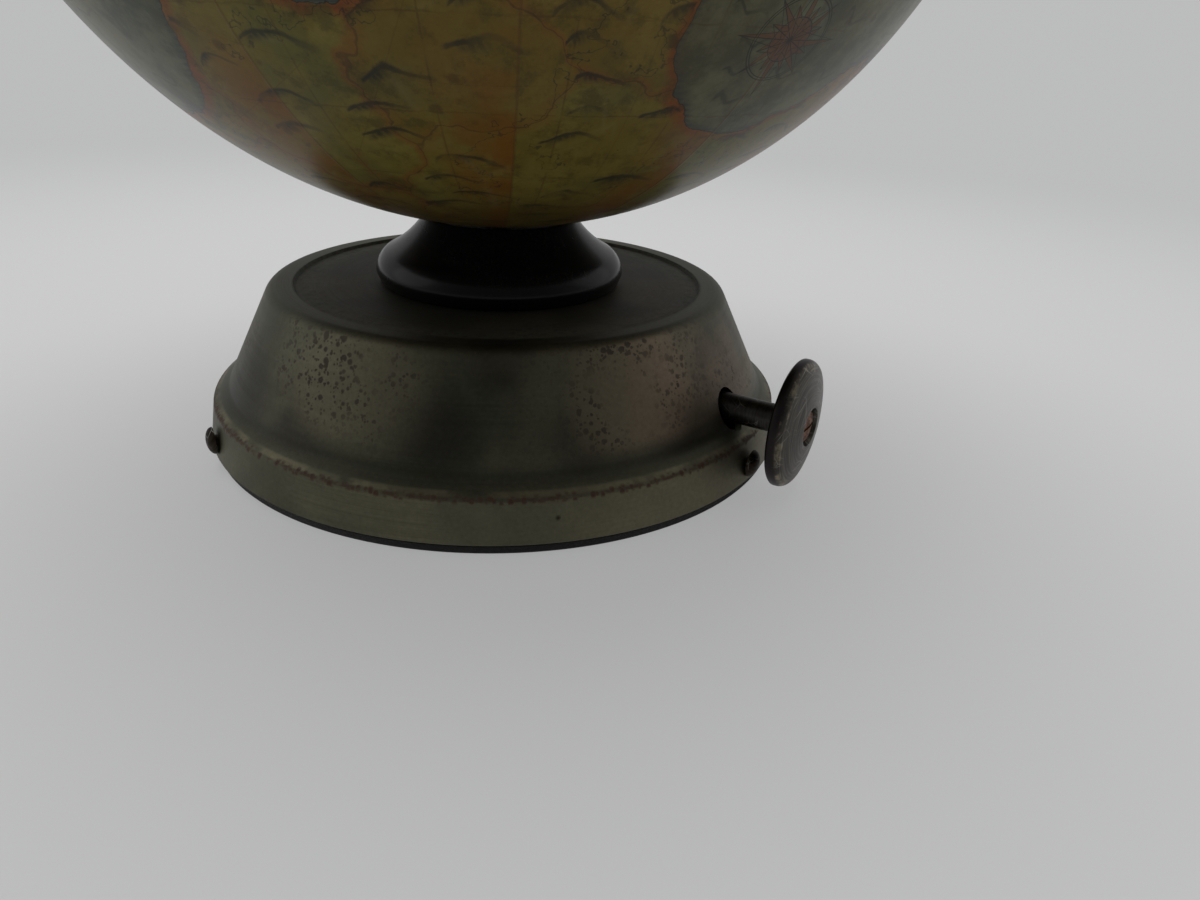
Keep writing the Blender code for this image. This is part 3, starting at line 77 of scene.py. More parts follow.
# Collar and globe
COLLAR_FOOT = 0.0446
COLLAR_FOOT_R = 0.0353
COLLAR_SIDE_R = 0.0365
COLLAR_SIDE_Z = 0.0476
COLLAR_CORNER_Z = 0.0509
COLLAR_EDGE_REACH = 0.0038
COLLAR_NECK_R = 0.0222
COLLAR_WAIST = 0.0007
COLLAR_SEAT_GAP = 0.0006
GLOBE_R = 0.1250
GLOBE_WALL = 0.0025
GLOBE_Z = 0.1871
SHELL_EDGE = 0.0026
RIM_PARTING = 0.0002
RIM_TOP = 0.0023
LIP_OUTER_R = 0.1200
LIP_INNER_R = 0.1178
LIP_HEIGHT = 0.0040
UPSTAND_INNER_R = 0.1204
UPSTAND_OUTER_R = 0.1215
UPSTAND_HEIGHT = 0.0058
LEDGE_R = 0.1138
LEDGE_TOP = -0.0102
LEDGE_FOOT = -0.0120

# Tray, decanter and glasses; heights above the parting or above the piece's own foot
SEAT_GAP = 0.0003
TRAY_R = 0.1172
TRAY_FOOT = -0.0099
TRAY_TOP = -0.0084
WELL_WALL = 0.0015
WELL_FLANGE_WIDTH = 0.0020
WELL_FLANGE_THICKNESS = 0.0006
GLASS_WELL_R = 0.01756
GLASS_WELL_DEPTH = 0.0220
DECANTER_WELL_R = 0.0368
DECANTER_WELL_DEPTH = 0.0440
GLASS_COUNT = 4
GLASS_PITCH_R = 0.0780
GLASS_TOP_R = 0.0190
GLASS_FOOT_R = 0.0150
GLASS_HEIGHT = 0.0500
GLASS_WALL = 0.0016
GLASS_FLOOR = 0.0060
GLASS_PUNT = 0.0008
GLASS_RIM_WIDTH = 0.0030
GLASS_EDGE = 0.0012
GLASS_INNER_EDGE = 0.0028
DECANTER_R = 0.0360
DECANTER_BODY_HEIGHT = 0.0600
DECANTER_SHOULDER_HEIGHT = 0.0130
DECANTER_WALL = 0.0032
DECANTER_FLOOR = 0.0070
DECANTER_EDGE = 0.0030
DECANTER_PUNT = 0.0012
DECANTER_INNER_EDGE = 0.0040
NECK_R = 0.0112
LIP_FOOT = 0.0940
LIP_R = 0.0145
LIP_BLEND = 0.0008
MOUTH_EDGE = 0.0006
MOUTH = 0.0980
PLUG_R = 0.0074
PLUG_TAPER = 0.0008
PLUG_EDGE = 0.0006
PLUG_LENGTH = 0.0160
STOPPER_FLANGE_R = 0.0133
STOPPER_FLANGE_HEIGHT = 0.0020
STOPPER_BALL_R = 0.0115
BALL_NECK_ANGLE = math.pi / 3.2

# Hinge and lid knob
HINGE_Y = 0.1278
LEAF_HALF_ANGLE = math.radians(11.25)
LEAF_INNER_R = 0.1253
LEAF_OUTER_R = 0.1265
LEAF_HEIGHT = 0.0140
KNUCKLE_R = 0.0023
KNUCKLE_ROW = 0.0240
CENTRE_KNUCKLE = 0.0080
KNUCKLE_RELIEF = 0.0032
CUTTER_SIZE = 0.02
HINGE_PIN_R = 0.0010
HINGE_PIN_CLEARANCE = 0.0002
HINGE_PIN_HEAD_R = 0.0016
HINGE_PIN_HEAD_HEIGHT = 0.0008
RIVET_R = 0.0010
RIVET_HEAD_R = 0.0020
RIVET_HEAD_HEIGHT = 0.0009
RIVET_HEAD_FOOT = 0.12615
RIVET_TAIL_R = 0.0015
RIVET_TAIL_TOP = 0.1216
RIVET_TAIL_FOOT = 0.1204
RIVET_SPREAD = 0.0085
RIVET_HEIGHT = 0.0090
LID_KNOB_HEIGHT = 0.0130
LID_KNOB_FACE = 0.1250
LID_KNOB_END = 0.1360
LID_KNOB_BASE_R = 0.0042
LID_KNOB_WAIST_R = 0.0030
LID_KNOB_R = 0.0065
LID_SCREW_R = 0.0012
LID_SCREW_HEAD_R = 0.0030
LID_SCREW_SEAT = 0.1213
LID_SCREW_HEAD_HEIGHT = 0.0014
LID_SCREW_END = 0.1310
LID_SLOT_WIDTH = 0.0007
LID_SLOT_DEPTH = 0.0005

# Winding shaft and knob, along the shaft's own Z
SHAFT_AZIMUTH = math.radians(53)
SHAFT_Z = 0.02151
SHAFT_R = 0.0039
SHAFT_HOLE_R = 0.0055
SHAFT_HOLE_OFFSET = 0.0011
SHAFT_HOLE_OVERRUN = 0.0160
SHAFT_STEP = 0.0628
ARBOR_R = 0.0018
SHAFT_FOOT = 0.0467
KNOB_FACE = 0.1008
KNOB_BACK = 0.0948
KNOB_R = 0.0174
KNOB_BACK_CHAMFER = 0.0005
KNOB_SIDE_HEIGHT = 0.0008
KNOB_EDGE_WIDTH = 0.0026
KNOB_EDGE_HEIGHT = 0.0027
KNOB_EDGE_SWEEP = math.radians(75)
KNOB_RECESS_R = 0.0052
KNOB_RECESS_DEPTH = 0.0018
KNOB_DRAFT = 0.0001
KNOB_SHARP_EDGE = 0.00015
KNOB_BORE_R = 0.0018
SHAFT_BORE_DEPTH = 0.0103
SCREW_R = 0.0015
SCREW_LENGTH = 0.0115
SCREW_HEAD_R = 0.0042
SCREW_HEAD_HEIGHT = 0.0011
SLOT_WIDTH = 0.0009
SLOT_DEPTH = 0.0006

# Side screws
SIDE_SCREW_AZIMUTHS = (math.radians(51.5), math.radians(-65), math.radians(173))
SIDE_SCREW_Z = 0.0078
SIDE_SCREW_R = 0.0038
SIDE_SCREW_HEIGHT = 0.0021
SIDE_SCREW_SEAT = 0.0867
SIDE_SCREW_TIP_R = 0.0006
SIDE_SCREW_SHANK_R = 0.0015
SIDE_SCREW_TAPER = 0.0100
SIDE_SCREW_LENGTH = 0.0140

# Photograph's frame, in metres and radians
LENS = 26.51
SENSOR = 36.0
CLIP_START = 0.01
CAMERA_AT = (0.0, -0.2654, 0.1145)
CAMERA_PITCH = math.radians(25.653)
CAMERA_YAW = math.radians(6.985)
CAMERA_ROLL = math.radians(2.538)


# Modelling


def outward(azimuth):
    """Rotation whose Z points out of the base at this azimuth, with Y up."""
    out = Vector((math.sin(azimuth), -math.cos(azimuth), 0))
    up = Vector((0, 0, 1))
    return Matrix((up.cross(out), up, out)).transposed().to_4x4()


SHAFT_FRAME = Matrix.Translation((0, 0, SHAFT_Z)) @ outward(SHAFT_AZIMUTH)


def arc(centre, radii, start, end, steps):
    """Points along an elliptic arc in the plane of an outline."""
    (x, z), (width, height) = centre, radii
    turns = [start + (end - start) * step / steps for step in range(steps + 1)]
    return [(x + width * math.cos(turn), z + height * math.sin(turn)) for turn in turns]


def begin(name, kind, **sizes):
    """Adds a primitive with nothing else selected and names it."""
    bpy.ops.object.select_all(action="DESELECT")
    getattr(bpy.ops.mesh, f"primitive_{kind}_add")(**sizes)
    piece = bpy.context.object
    piece.name = name
    piece.data.name = name
    return piece


def draw_outline(name, points):
    """Draws a chain of (radius, height) points by extruding one vertex."""
    piece = begin(name, "plane", size=1)
    bpy.ops.object.mode_set(mode="EDIT")
    bpy.ops.mesh.select_mode(type="VERT")
    bpy.ops.mesh.merge(type="CENTER")
    spots = [Vector((radius, 0, height)) for radius, height in points]
    bpy.ops.transform.translate(value=spots[0])
    for before, after in zip(spots, spots[1:]):
        bpy.ops.mesh.extrude_region_move(TRANSFORM_OT_translate={"value": after - before})
    return piece


def turn(name, points, steps=MEDIUM_STEPS, angle=FULL_TURN):
    """Spins an outline about Z into a closed solid, with its ends joined or both on the axis."""
    on_axis = points[0][0] == 0 and points[-1][0] == 0
    piece = draw_outline(name, points if on_axis else points + points[:1])
    bpy.ops.mesh.select_all(action="SELECT")
    bpy.ops.mesh.spin(steps=steps, angle=angle, center=(0, 0, 0), axis=(0, 0, 1))
    bpy.ops.mesh.select_all(action="SELECT")
    bpy.ops.mesh.remove_doubles(threshold=WELD)
    bpy.ops.mesh.normals_make_consistent(inside=False)
    bpy.ops.object.mode_set(mode="OBJECT")
    return piece


def apply_modifier(piece, kind, **settings):
    """Adds a modifier with these settings and applies it."""
    bpy.ops.object.select_all(action="DESELECT")
    piece.select_set(True)
    bpy.context.view_layer.objects.active = piece
    modifier = piece.modifiers.new(kind.title(), kind)
    for name, value in settings.items():
        setattr(modifier, name, value)
    bpy.ops.object.modifier_apply(modifier=modifier.name)
    return piece


def soften(piece, width, segments=2, angle=SMOOTH_ANGLE):
    """Rounds the sharp edges with a bevel."""
    return apply_modifier(
        piece, "BEVEL", width=width, segments=segments, limit_method="ANGLE", angle_limit=angle,
        harden_normals=False, use_clamp_overlap=True,
    )


def carve(piece, cutter, operation="DIFFERENCE"):
    """Cuts or joins one piece with another, which is then thrown away."""
    apply_modifier(piece, "BOOLEAN", operation=operation, object=cutter, solver="EXACT")
    bpy.data.objects.remove(cutter, do_unlink=True)
    return piece


def put(piece, matrix):
    """Moves a piece to its place and applies the place to its mesh."""
    bpy.ops.object.select_all(action="DESELECT")
    piece.select_set(True)
    bpy.context.view_layer.objects.active = piece
    piece.matrix_world = matrix
    bpy.ops.object.transform_apply(location=True, rotation=True, scale=True)
    return piece


def finish(piece, material, body, slot, *nodes):
    """Smooths a piece, gives it its material and body, and hides the CAD nodes it stands for."""
    bpy.ops.object.select_all(action="DESELECT")
    piece.select_set(True)
    bpy.context.view_layer.objects.active = piece
    bpy.ops.object.shade_smooth_by_angle(angle=SMOOTH_ANGLE)
    if material is not None:
        piece.data.materials.clear()
        piece.data.materials.append(material)
    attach(piece, body)
    if nodes:
        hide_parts(*nodes)
    return piece


# Materials


class Wire:
    """A node's output that can stand in a sum, which then adds a node to the same tree."""

    def __init__(self, recipe, socket):
        self.recipe = recipe
        self.socket = socket
        self.is_vector = socket.type in ("VECTOR", "RGBA")

    def combine(self, operation, first, second):
        add_node = self.recipe.vector if self.is_vector else self.recipe.math
        return add_node(operation, first, second)

    def __add__(self, other):
        return self.combine("ADD", self, other)

    def __radd__(self, other):
        return self.combine("ADD", other, self)

    def __sub__(self, other):
        return self.combine("SUBTRACT", self, other)

    def __rsub__(self, other):
        return self.combine("SUBTRACT", other, self)

    def __mul__(self, other):
        if self.is_vector:
            return self.recipe.add("VectorMath", 0, {"operation": "SCALE"}, Vector=self, Scale=other)
        return self.recipe.math("MULTIPLY", self, other)

    def __truediv__(self, other):
        return self.recipe.math("DIVIDE", self, other)

    def __rtruediv__(self, other):
        return self.recipe.math("DIVIDE", other, self)

    def __pow__(self, other):
        return self.recipe.math("POWER", self, other)

    def __abs__(self):
        return self.recipe.math("ABSOLUTE", self)


class Recipe:
    """Adds nodes to one tree; a value may be a number, a colour, a vector or a wire."""

    def __init__(self, tree):
        self.tree = tree

    def feed(self, socket, value):
        if isinstance(value, Wire):
            self.tree.links.new(value.socket, socket)
        else:
            socket.default_value = value

    def fill(self, sockets, **values):
        """Feeds sockets by name, with _ for a space."""
        for name, value in values.items():
            self.feed(sockets[name.replace("_", " ")], value)

    def add(self, kind, out=0, settings=None, **values):
        """Adds a node with settings and socket values; the answer is one of its outputs."""
        node = self.tree.nodes.new(f"ShaderNode{kind}")
        for name, value in (settings or {}).items():
            setattr(node, name, value)
        self.fill(node.inputs, **values)
        return Wire(self, node.outputs[out])

    def outputs(self, wire):
        """All outputs of the node that a wire comes from, by name."""
        return {socket.name: Wire(self, socket) for socket in wire.socket.node.outputs}

    def operate(self, kind, operation, values, out=0):
        wire = self.add(kind, out, {"operation": operation})
        for socket, value in zip(wire.socket.node.inputs, values):
            self.feed(socket, value)
        return wire

    def math(self, operation, *values):
        return self.operate("Math", operation, values)

    def vector(self, operation, *values):
        return self.operate("VectorMath", operation, values)

    def measure(self, operation, *values):
        return self.operate("VectorMath", operation, values, "Value")

    def most(self, first, *others):
        for other in others:
            first = self.math("MAXIMUM", first, other)
        return first

    def clamped(self, wire):
        """Holds the sum that a wire comes from between 0 and 1."""
        wire.socket.node.use_clamp = True
        return wire

    def split(self, vector):
        return self.outputs(self.add("SeparateXYZ", Vector=vector)).values()

    def channels(self, colour):
        return self.outputs(self.add("SeparateColor", Color=colour)).values()

    def radius(self, vector):
        """Distance from the Z axis."""
        return self.measure("LENGTH", self.vector("MULTIPLY", vector, (1, 1, 0)))

    def moved(self, vector, location=(0, 0, 0), rotation=(0, 0, 0), scale=(1, 1, 1)):
        return self.add("Mapping", Vector=vector, Location=location, Rotation=rotation, Scale=scale)

    def noise(self, vector, scale, detail=2.0, roughness=0.5, distortion=0.0, out="Fac"):
        values = {"Vector": vector, "Scale": scale, "Detail": detail, "Roughness": roughness}
        return self.add("TexNoise", out, Distortion=distortion, **values)

    def cells(self, vector, scale, feature="F1", out="Distance"):
        return self.add("TexVoronoi", out, {"feature": feature}, Vector=vector, Scale=scale)

    def step(self, value, low, high):
        """0 below low and 1 above high, smooth between; reversed where low is above high."""
        flip = low > high
        return self.add(
            "MapRange", "Result", {"interpolation_type": "SMOOTHSTEP"}, Value=value, From_Min=min(low, high),
            From_Max=max(low, high), To_Min=float(flip), To_Max=float(not flip),
        )

    def patches(self, vector, scale, detail, roughness, low, high):
        return self.step(self.noise(vector, scale, detail, roughness), low, high)

    def near(self, value, middle, far, close):
        """1 within close of the middle and 0 beyond far."""
        return self.step(abs(value - middle), far, close)

    def mix(self, factor, first, second, blend="MIX"):
        node = self.add("Mix", 2, {"data_type": "RGBA", "blend_type": blend}, Factor=factor).socket.node
        self.feed(node.inputs[6], first)
        self.feed(node.inputs[7], second)
        return Wire(self, node.outputs[2])

    def paint(self, tone, *layers):
        """Lays colours over a tone in turn; each layer is (mask, strength, colour)."""
        for mask, strength, colour in layers:
            tone = self.mix(mask * strength, tone, colour)
        return tone

    def bump(self, height, strength, distance):
        return self.add("Bump", "Normal", Height=height, Strength=strength, Distance=distance)

    def group(self, name, **values):
        return self.outputs(self.add("Group", 0, {"node_tree": bpy.data.node_groups[name]}, **values))


def make_group(name, inputs, outputs):
    """A node group with named inputs, None for a vector; returns its recipe, input wires and outputs."""
    tree = bpy.data.node_groups.new(name, "ShaderNodeTree")
    for key, value in inputs.items():
        kind = "NodeSocketVector" if value is None else "NodeSocketFloat"
        socket = tree.interface.new_socket(key, in_out="INPUT", socket_type=kind)
        if value is not None:
            socket.default_value = value
    for key in outputs:
        tree.interface.new_socket(key, in_out="OUTPUT", socket_type="NodeSocketFloat")
    recipe = Recipe(tree)
    source = tree.nodes.new("NodeGroupInput").outputs
    target = tree.nodes.new("NodeGroupOutput").inputs
    return recipe, {socket.name: Wire(recipe, socket) for socket in source}, target


def make_material(name, **settings):
    """A Principled material with these settings; returns it, its recipe, shader sockets and coordinates."""
    material = bpy.data.materials.new(name)
    material.use_nodes = True
    recipe = Recipe(material.node_tree)
    shader = material.node_tree.nodes["Principled BSDF"].inputs
    recipe.fill(shader, **settings)
    return material, recipe, shader, recipe.add("TexCoord", "Object")


def make_turning_lines():
    """Fine tool lines round the Z axis, with broad soft bands between them."""
    inputs = {"Vector": None, "Fineness": 1500.0}
    r, source, target = make_group("turning_lines", inputs, ("Lines", "Bands"))
    _, _, height = r.split(source["Vector"])
    flat = r.vector("MULTIPLY", source["Vector"], (1, 1, 0))
    spoke = r.vector("NORMALIZE", flat)
    run = r.measure("LENGTH", flat) + height * 0.83
    fine = r.add("CombineXYZ", Z=run * source["Fineness"])
    broad = r.add("CombineXYZ", Z=run * 160.0)
    lines = r.patches(spoke * 0.9 + fine, 1.0, 3.0, 0.6, 0.3, 0.7)
    bands = r.patches(spoke * 0.5 + broad, 1.0, 2.0, 0.5, 0.3, 0.7)
    r.fill(target, Lines=lines, Bands=bands)


def make_grime():
    """Small specks and broad soft stains."""
    inputs = {"Vector": None, "Speck Scale": 500.0, "Amount": 0.5}
    r, source, target = make_group("grime", inputs, ("Specks", "Stains"))
    vector = source["Vector"]
    wobble = r.noise(vector, 900.0, 2.0, 0.6)
    shifted = vector + r.add("CombineXYZ", X=wobble, Y=wobble) * 0.0006
    cells = r.outputs(r.cells(shifted, source["Speck Scale"]))
    size, *_ = r.channels(cells["Color"])
    edge = size**2.5 * (source["Amount"] * 0.85) - cells["Distance"]
    specks = r.step(edge, 0.0, 0.22) * r.patches(vector, 38.0, 3.0, 0.6, 0.38, 0.62)
    r.fill(target, Specks=specks, Stains=r.noise(vector, 24.0, 4.0, 0.6, 0.4))


def make_dust():
    """Dust that settles on faces that look up."""
    r, source, target = make_group("dust", {"Vector": None, "Amount": 0.3}, ("Dust",))
    _, _, up = r.split(r.add("NewGeometry", "Normal"))
    flecks = r.patches(source["Vector"], 700.0, 4.0, 0.75, 0.40, 0.72)
    drifts = r.patches(source["Vector"], 45.0, 2.0, 0.5, 0.25, 0.75)
    r.fill(target, Dust=r.step(up, 0.2, 0.95) * (flecks * drifts) * source["Amount"])


def make_scuffs():
    """Thin crossing scratches."""
    r, source, target = make_group("scuffs", {"Vector": None, "Scale": 60.0}, ("Scuffs",))
    marks = []
    for angle, stretch in ((0.4, 0.06), (1.9, 0.05)):
        line = r.moved(source["Vector"], rotation=(angle, angle * 0.6, angle), scale=(1, stretch, 1))
        cell = r.cells(line, source["Scale"], "DISTANCE_TO_EDGE")
        broken = r.patches(source["Vector"], 90.0, 2.0, 0.5, 0.52, 0.66)
        marks.append(r.step(cell, 0.02, 0.0) * broken)
    r.fill(target, Scuffs=r.most(*marks))


def make_row_symbols():
    """Rows of small drawn arcs over a sphere, as hills or waves, with shading under the left of each."""
    inputs = {"Vector": None, "Row": 0.07, "Width": 0.15, "Bows": 0.5}
    inputs.update({"Rise": 0.5, "Shade": 1.0, "Share": 0.6})
    r, source, target = make_group("row_symbols", inputs, ("Ink",))
    wander = r.add("TexNoise", "Color", Vector=source["Vector"], Scale=9.0, Detail=1.0)
    drift = (wander - (0.5, 0.5, 0.5)) * 0.06
    x, y, z = r.split(r.vector("NORMALIZE", source["Vector"] + drift))
    # The row and the cell along it, with the place in each from 0 to 1
    rows = r.math("ARCSINE", z) / source["Row"]
    row = r.math("FLOOR", rows)
    high = r.math("FRACT", rows)
    girth = r.math("COSINE", (row + 0.5) * source["Row"]) * FULL_TURN
    count = r.most(r.math("ROUND", girth / source["Width"]), 1.0)
    shift = r.add("TexWhiteNoise", "Value", {"noise_dimensions": "1D"}, W=row)
    along = r.math("ARCTAN2", y, x) / FULL_TURN * count + shift
    cell = r.math("FLOOR", along)
    across = r.math("FRACT", along)
    # Each cell's own draw: whether it has a symbol, where it starts and ends, and how high it stands
    key = r.add("CombineXYZ", X=cell, Y=row)
    draw = r.add("TexWhiteNoise", "Color", {"noise_dimensions": "3D"}, Vector=key)
    chance, first_draw, last_draw = r.channels(draw)
    shown = r.math("LESS_THAN", chance, source["Share"])
    left = 0.03 + first_draw * 0.24
    right = 0.98 - last_draw * 0.26
    run = (across - left) / (right - left)
    # The pen line
    bow = r.math("SINE", r.most(run, 0.0) ** 0.8 * (source["Bows"] * FULL_TURN))
    lifted = abs(bow) ** 1.3 * r.math("SIGN", bow)
    drop = 0.16 + last_draw * 0.24 + lifted * source["Rise"] - high
    pen = r.noise(source["Vector"], 60.0, 2.0, 0.7)
    line = r.step(abs(drop) - (-0.01 + pen * 0.11), 0.07, -0.02)
    line = line * (r.step(run, 0.0, 0.06) * r.step(run, 1.0, 0.90))
    line = line * (1.0 - r.step(run, 0.45, 0.95) * 0.6)
    # The hatched shade under its left flank
    flank = r.step(run, 0.05, 0.26) * r.step(run, 0.60, 0.34)
    under = r.step(drop, -0.05, 0.05) * r.step(drop, 0.36, 0.08)
    strokes = r.math("SINE", (run + high * 0.25) * 60.0)
    hatch = 0.70 + r.step(strokes, -0.8, 0.4) * 0.30
    shade = hatch * (flank * under) * source["Shade"]
    fade = 0.35 + r.patches(source["Vector"], 14.0, 2.0, 0.6, 0.30, 0.55) * 0.65
    r.fill(target, Ink=r.most(line, shade) * (shown * fade))


# A rose's three sets of points as (points, long radius, short radius, turn), and its rings
ROSE_POINTS = ((4, 1.0, 0.20, 0.0), (4, 0.80, 0.20, math.pi / 4), (8, 0.55, 0.30, math.pi / 8))
ROSE_RINGS = (0.34, 0.62, 0.66)


def make_compass_rose():
    """A sixteen-pointed rose drawn on the sphere about one direction, with its rhumb lines."""
    inputs = {"Vector": None, "Centre": None, "Size": 0.2}
    r, source, target = make_group("compass_rose", inputs, ("Ink", "Fill", "Rhumbs"))
    out = r.vector("NORMALIZE", source["Centre"])
    east = r.vector("NORMALIZE", r.vector("CROSS_PRODUCT", (0, 0, 1), out))
    north = r.vector("CROSS_PRODUCT", out, east)
    x, y, forward = (r.measure("DOT_PRODUCT", source["Vector"], axis) for axis in (east, north, out))
    facing = r.step(forward, 0.0, 0.1)
    radius = r.measure("LENGTH", r.add("CombineXYZ", X=x, Y=y)) / source["Size"]
    angle = r.math("ARCTAN2", x, y)
    fills, inks = [], []
    for points, long, short, phase in ROSE_POINTS:
        turn_by = FULL_TURN / points
        local = (r.math("FRACT", (angle + phase) / turn_by + 0.5) - 0.5) * turn_by
        tip_x = radius * r.math("COSINE", abs(local))
        tip_y = radius * r.math("SINE", abs(local))
        waist_x, waist_y = short * math.cos(turn_by / 2), short * math.sin(turn_by / 2)
        inner = (long - tip_x) * (waist_y / (long - waist_x)) - tip_y
        blade = r.step(inner, 0.0, 0.006)
        edge = blade * r.step(inner, 0.018, 0.008)
        middle = blade * r.step(tip_y, 0.010, 0.004)
        inks.append(r.most(edge, middle))
        fills.append(blade * r.math("GREATER_THAN", local, 0.0))
    rings = [r.near(radius, ring, 0.012, 0.004) for ring in ROSE_RINGS]
    spokes = abs(r.math("SINE", angle * 8.0))
    ticks = r.step(spokes, 0.05, 0.02) * (r.step(radius, 0.62, 0.63) * r.step(radius, 0.67, 0.66))
    ray = 0.0035 / r.most(radius, 0.2)
    rhumbs = r.step(spokes - ray * 8.0, 0.008, 0.0) * r.step(radius, 0.9, 1.1)
    ink = r.most(*inks, *rings, ticks)
    r.fill(target, Ink=ink * facing, Fill=r.most(*fills) * facing, Rhumbs=rhumbs * facing)


# Broad drifts on the base where rust specks gather under a painted highlight, as (place, reach, weight);
# patches of painted shade as (place, reach); and one deep pit
RUST_AND_HIGHLIGHT_DRIFTS = (
    ((0.033, -0.065, 0.033), 0.024, 1.0),
    ((-0.035, -0.063, 0.035), 0.026, 0.85),
    ((0.060, 0.050, 0.034), 0.022, 0.7),
    ((-0.066, 0.030, 0.038), 0.018, 0.6),
)
PAINTED_SHADE_SPOTS = (
    ((-0.0505, -0.0606, 0.0210), 0.018),
    ((-0.0150, -0.0735, 0.0265), 0.015),
    ((0.0185, -0.0740, 0.0240), 0.012),
    ((0.0000, -0.0680, 0.0430), 0.013),
    ((0.0440, -0.0640, 0.0210), 0.013),
    ((-0.0710, -0.0370, 0.0210), 0.026),
    ((0.0590, -0.0460, 0.0290), 0.022),
)
BAND_PIT = (0.0130, -0.0852, 0.0094)

# Colours of the base
OLIVE_DARK = (0.066, 0.068, 0.048, 1)
OLIVE = (0.104, 0.104, 0.072, 1)
OLIVE_BRIGHT = (0.150, 0.149, 0.106, 1)
UMBER = (0.046, 0.044, 0.034, 1)
# Painted shade for the patches and along the fold
PAINTED_PATCH_SHADE = (0.036, 0.034, 0.027, 1)
FOLD_SHADE = (0.028, 0.026, 0.020, 1)
BAND_TINTS = ((0.130, 0.122, 0.078, 1), (0.175, 0.165, 0.112, 1))
BAND_DULL = (0.098, 0.098, 0.068, 1)
BAND_LIT = (0.200, 0.180, 0.116, 1)
# Rubbed edge colour, partly wear and partly painted highlight
RUBBED_HIGHLIGHT_EDGE = (0.215, 0.198, 0.128, 1)
# Sunken top: darker near the collar as painted shade, lighter further out
DISC_SHADE_TINTS = ((0.046, 0.045, 0.034, 1), (0.082, 0.083, 0.064, 1))
# Lighter warm tints over the rust drifts, partly rust haze and partly painted highlight
RUST_HAZE_HIGHLIGHT_TINTS = ((0.168, 0.156, 0.102, 1), (0.240, 0.182, 0.130, 1))
SPECK = (0.030, 0.017, 0.010, 1)
RUST_RED = (0.075, 0.028, 0.014, 1)
PIT = (0.012, 0.009, 0.006, 1)
GRAIN_TINTS = ((0.50, 0.50, 0.48, 1), (1.45, 1.45, 1.42, 1))
PALE_DUST = (0.22, 0.21, 0.19, 1)


def rust_and_highlight_drifts(r, place, speckled):
    """Where the rust specks gather and the painted highlight lies: faintly by noise, and strongly in the
    listed drifts.
    """
    drifts = r.patches(place, 21.0, 3.0, 0.6, 0.42, 0.62) * 0.55
    for spot, reach, weight in RUST_AND_HIGHLIGHT_DRIFTS:
        away = r.measure("DISTANCE", place, spot) + drifts * -0.010
        drifts = r.most(drifts, r.step(away, reach, reach * 0.3) * weight)
    return r.clamped(drifts * (0.03 + speckled))


def painted_shade_patches(r, place, height):
    """Painted shade: soft dark patches above the band, in the listed spots and in noise."""
    patches = r.patches(place, 26.0, 2.0, 0.5, 0.58, 0.72)
    for spot, reach in PAINTED_SHADE_SPOTS:
        patches = r.most(patches, r.step(r.measure("DISTANCE", place, spot), reach, reach * 0.2))
    return patches * r.step(height, CREASE_Z + 0.0008, KINK_Z + 0.0020)


def rust_belt(r, place, height):
    """Beads of rust and a thin thread of it along the crease."""
    belt = r.step(height, CREASE_Z - 0.0012, CREASE_Z - 0.0003)
    belt = belt * r.step(height, CREASE_Z + 0.0012, CREASE_Z + 0.0004)
    beads = r.step(r.cells(r.moved(place, scale=(1, 1, 0.6)), 640.0), 0.58, 0.30)
    beads = beads * r.patches(place, 140.0, 3.0, 0.7, 0.30, 0.50) * belt
    thread = r.near(height, CREASE_Z + 0.0001, 0.0005, 0.0001)
    thread = thread * r.patches(place, 300.0, 3.0, 0.7, 0.40, 0.60)
    return r.most(beads, thread * 0.8)


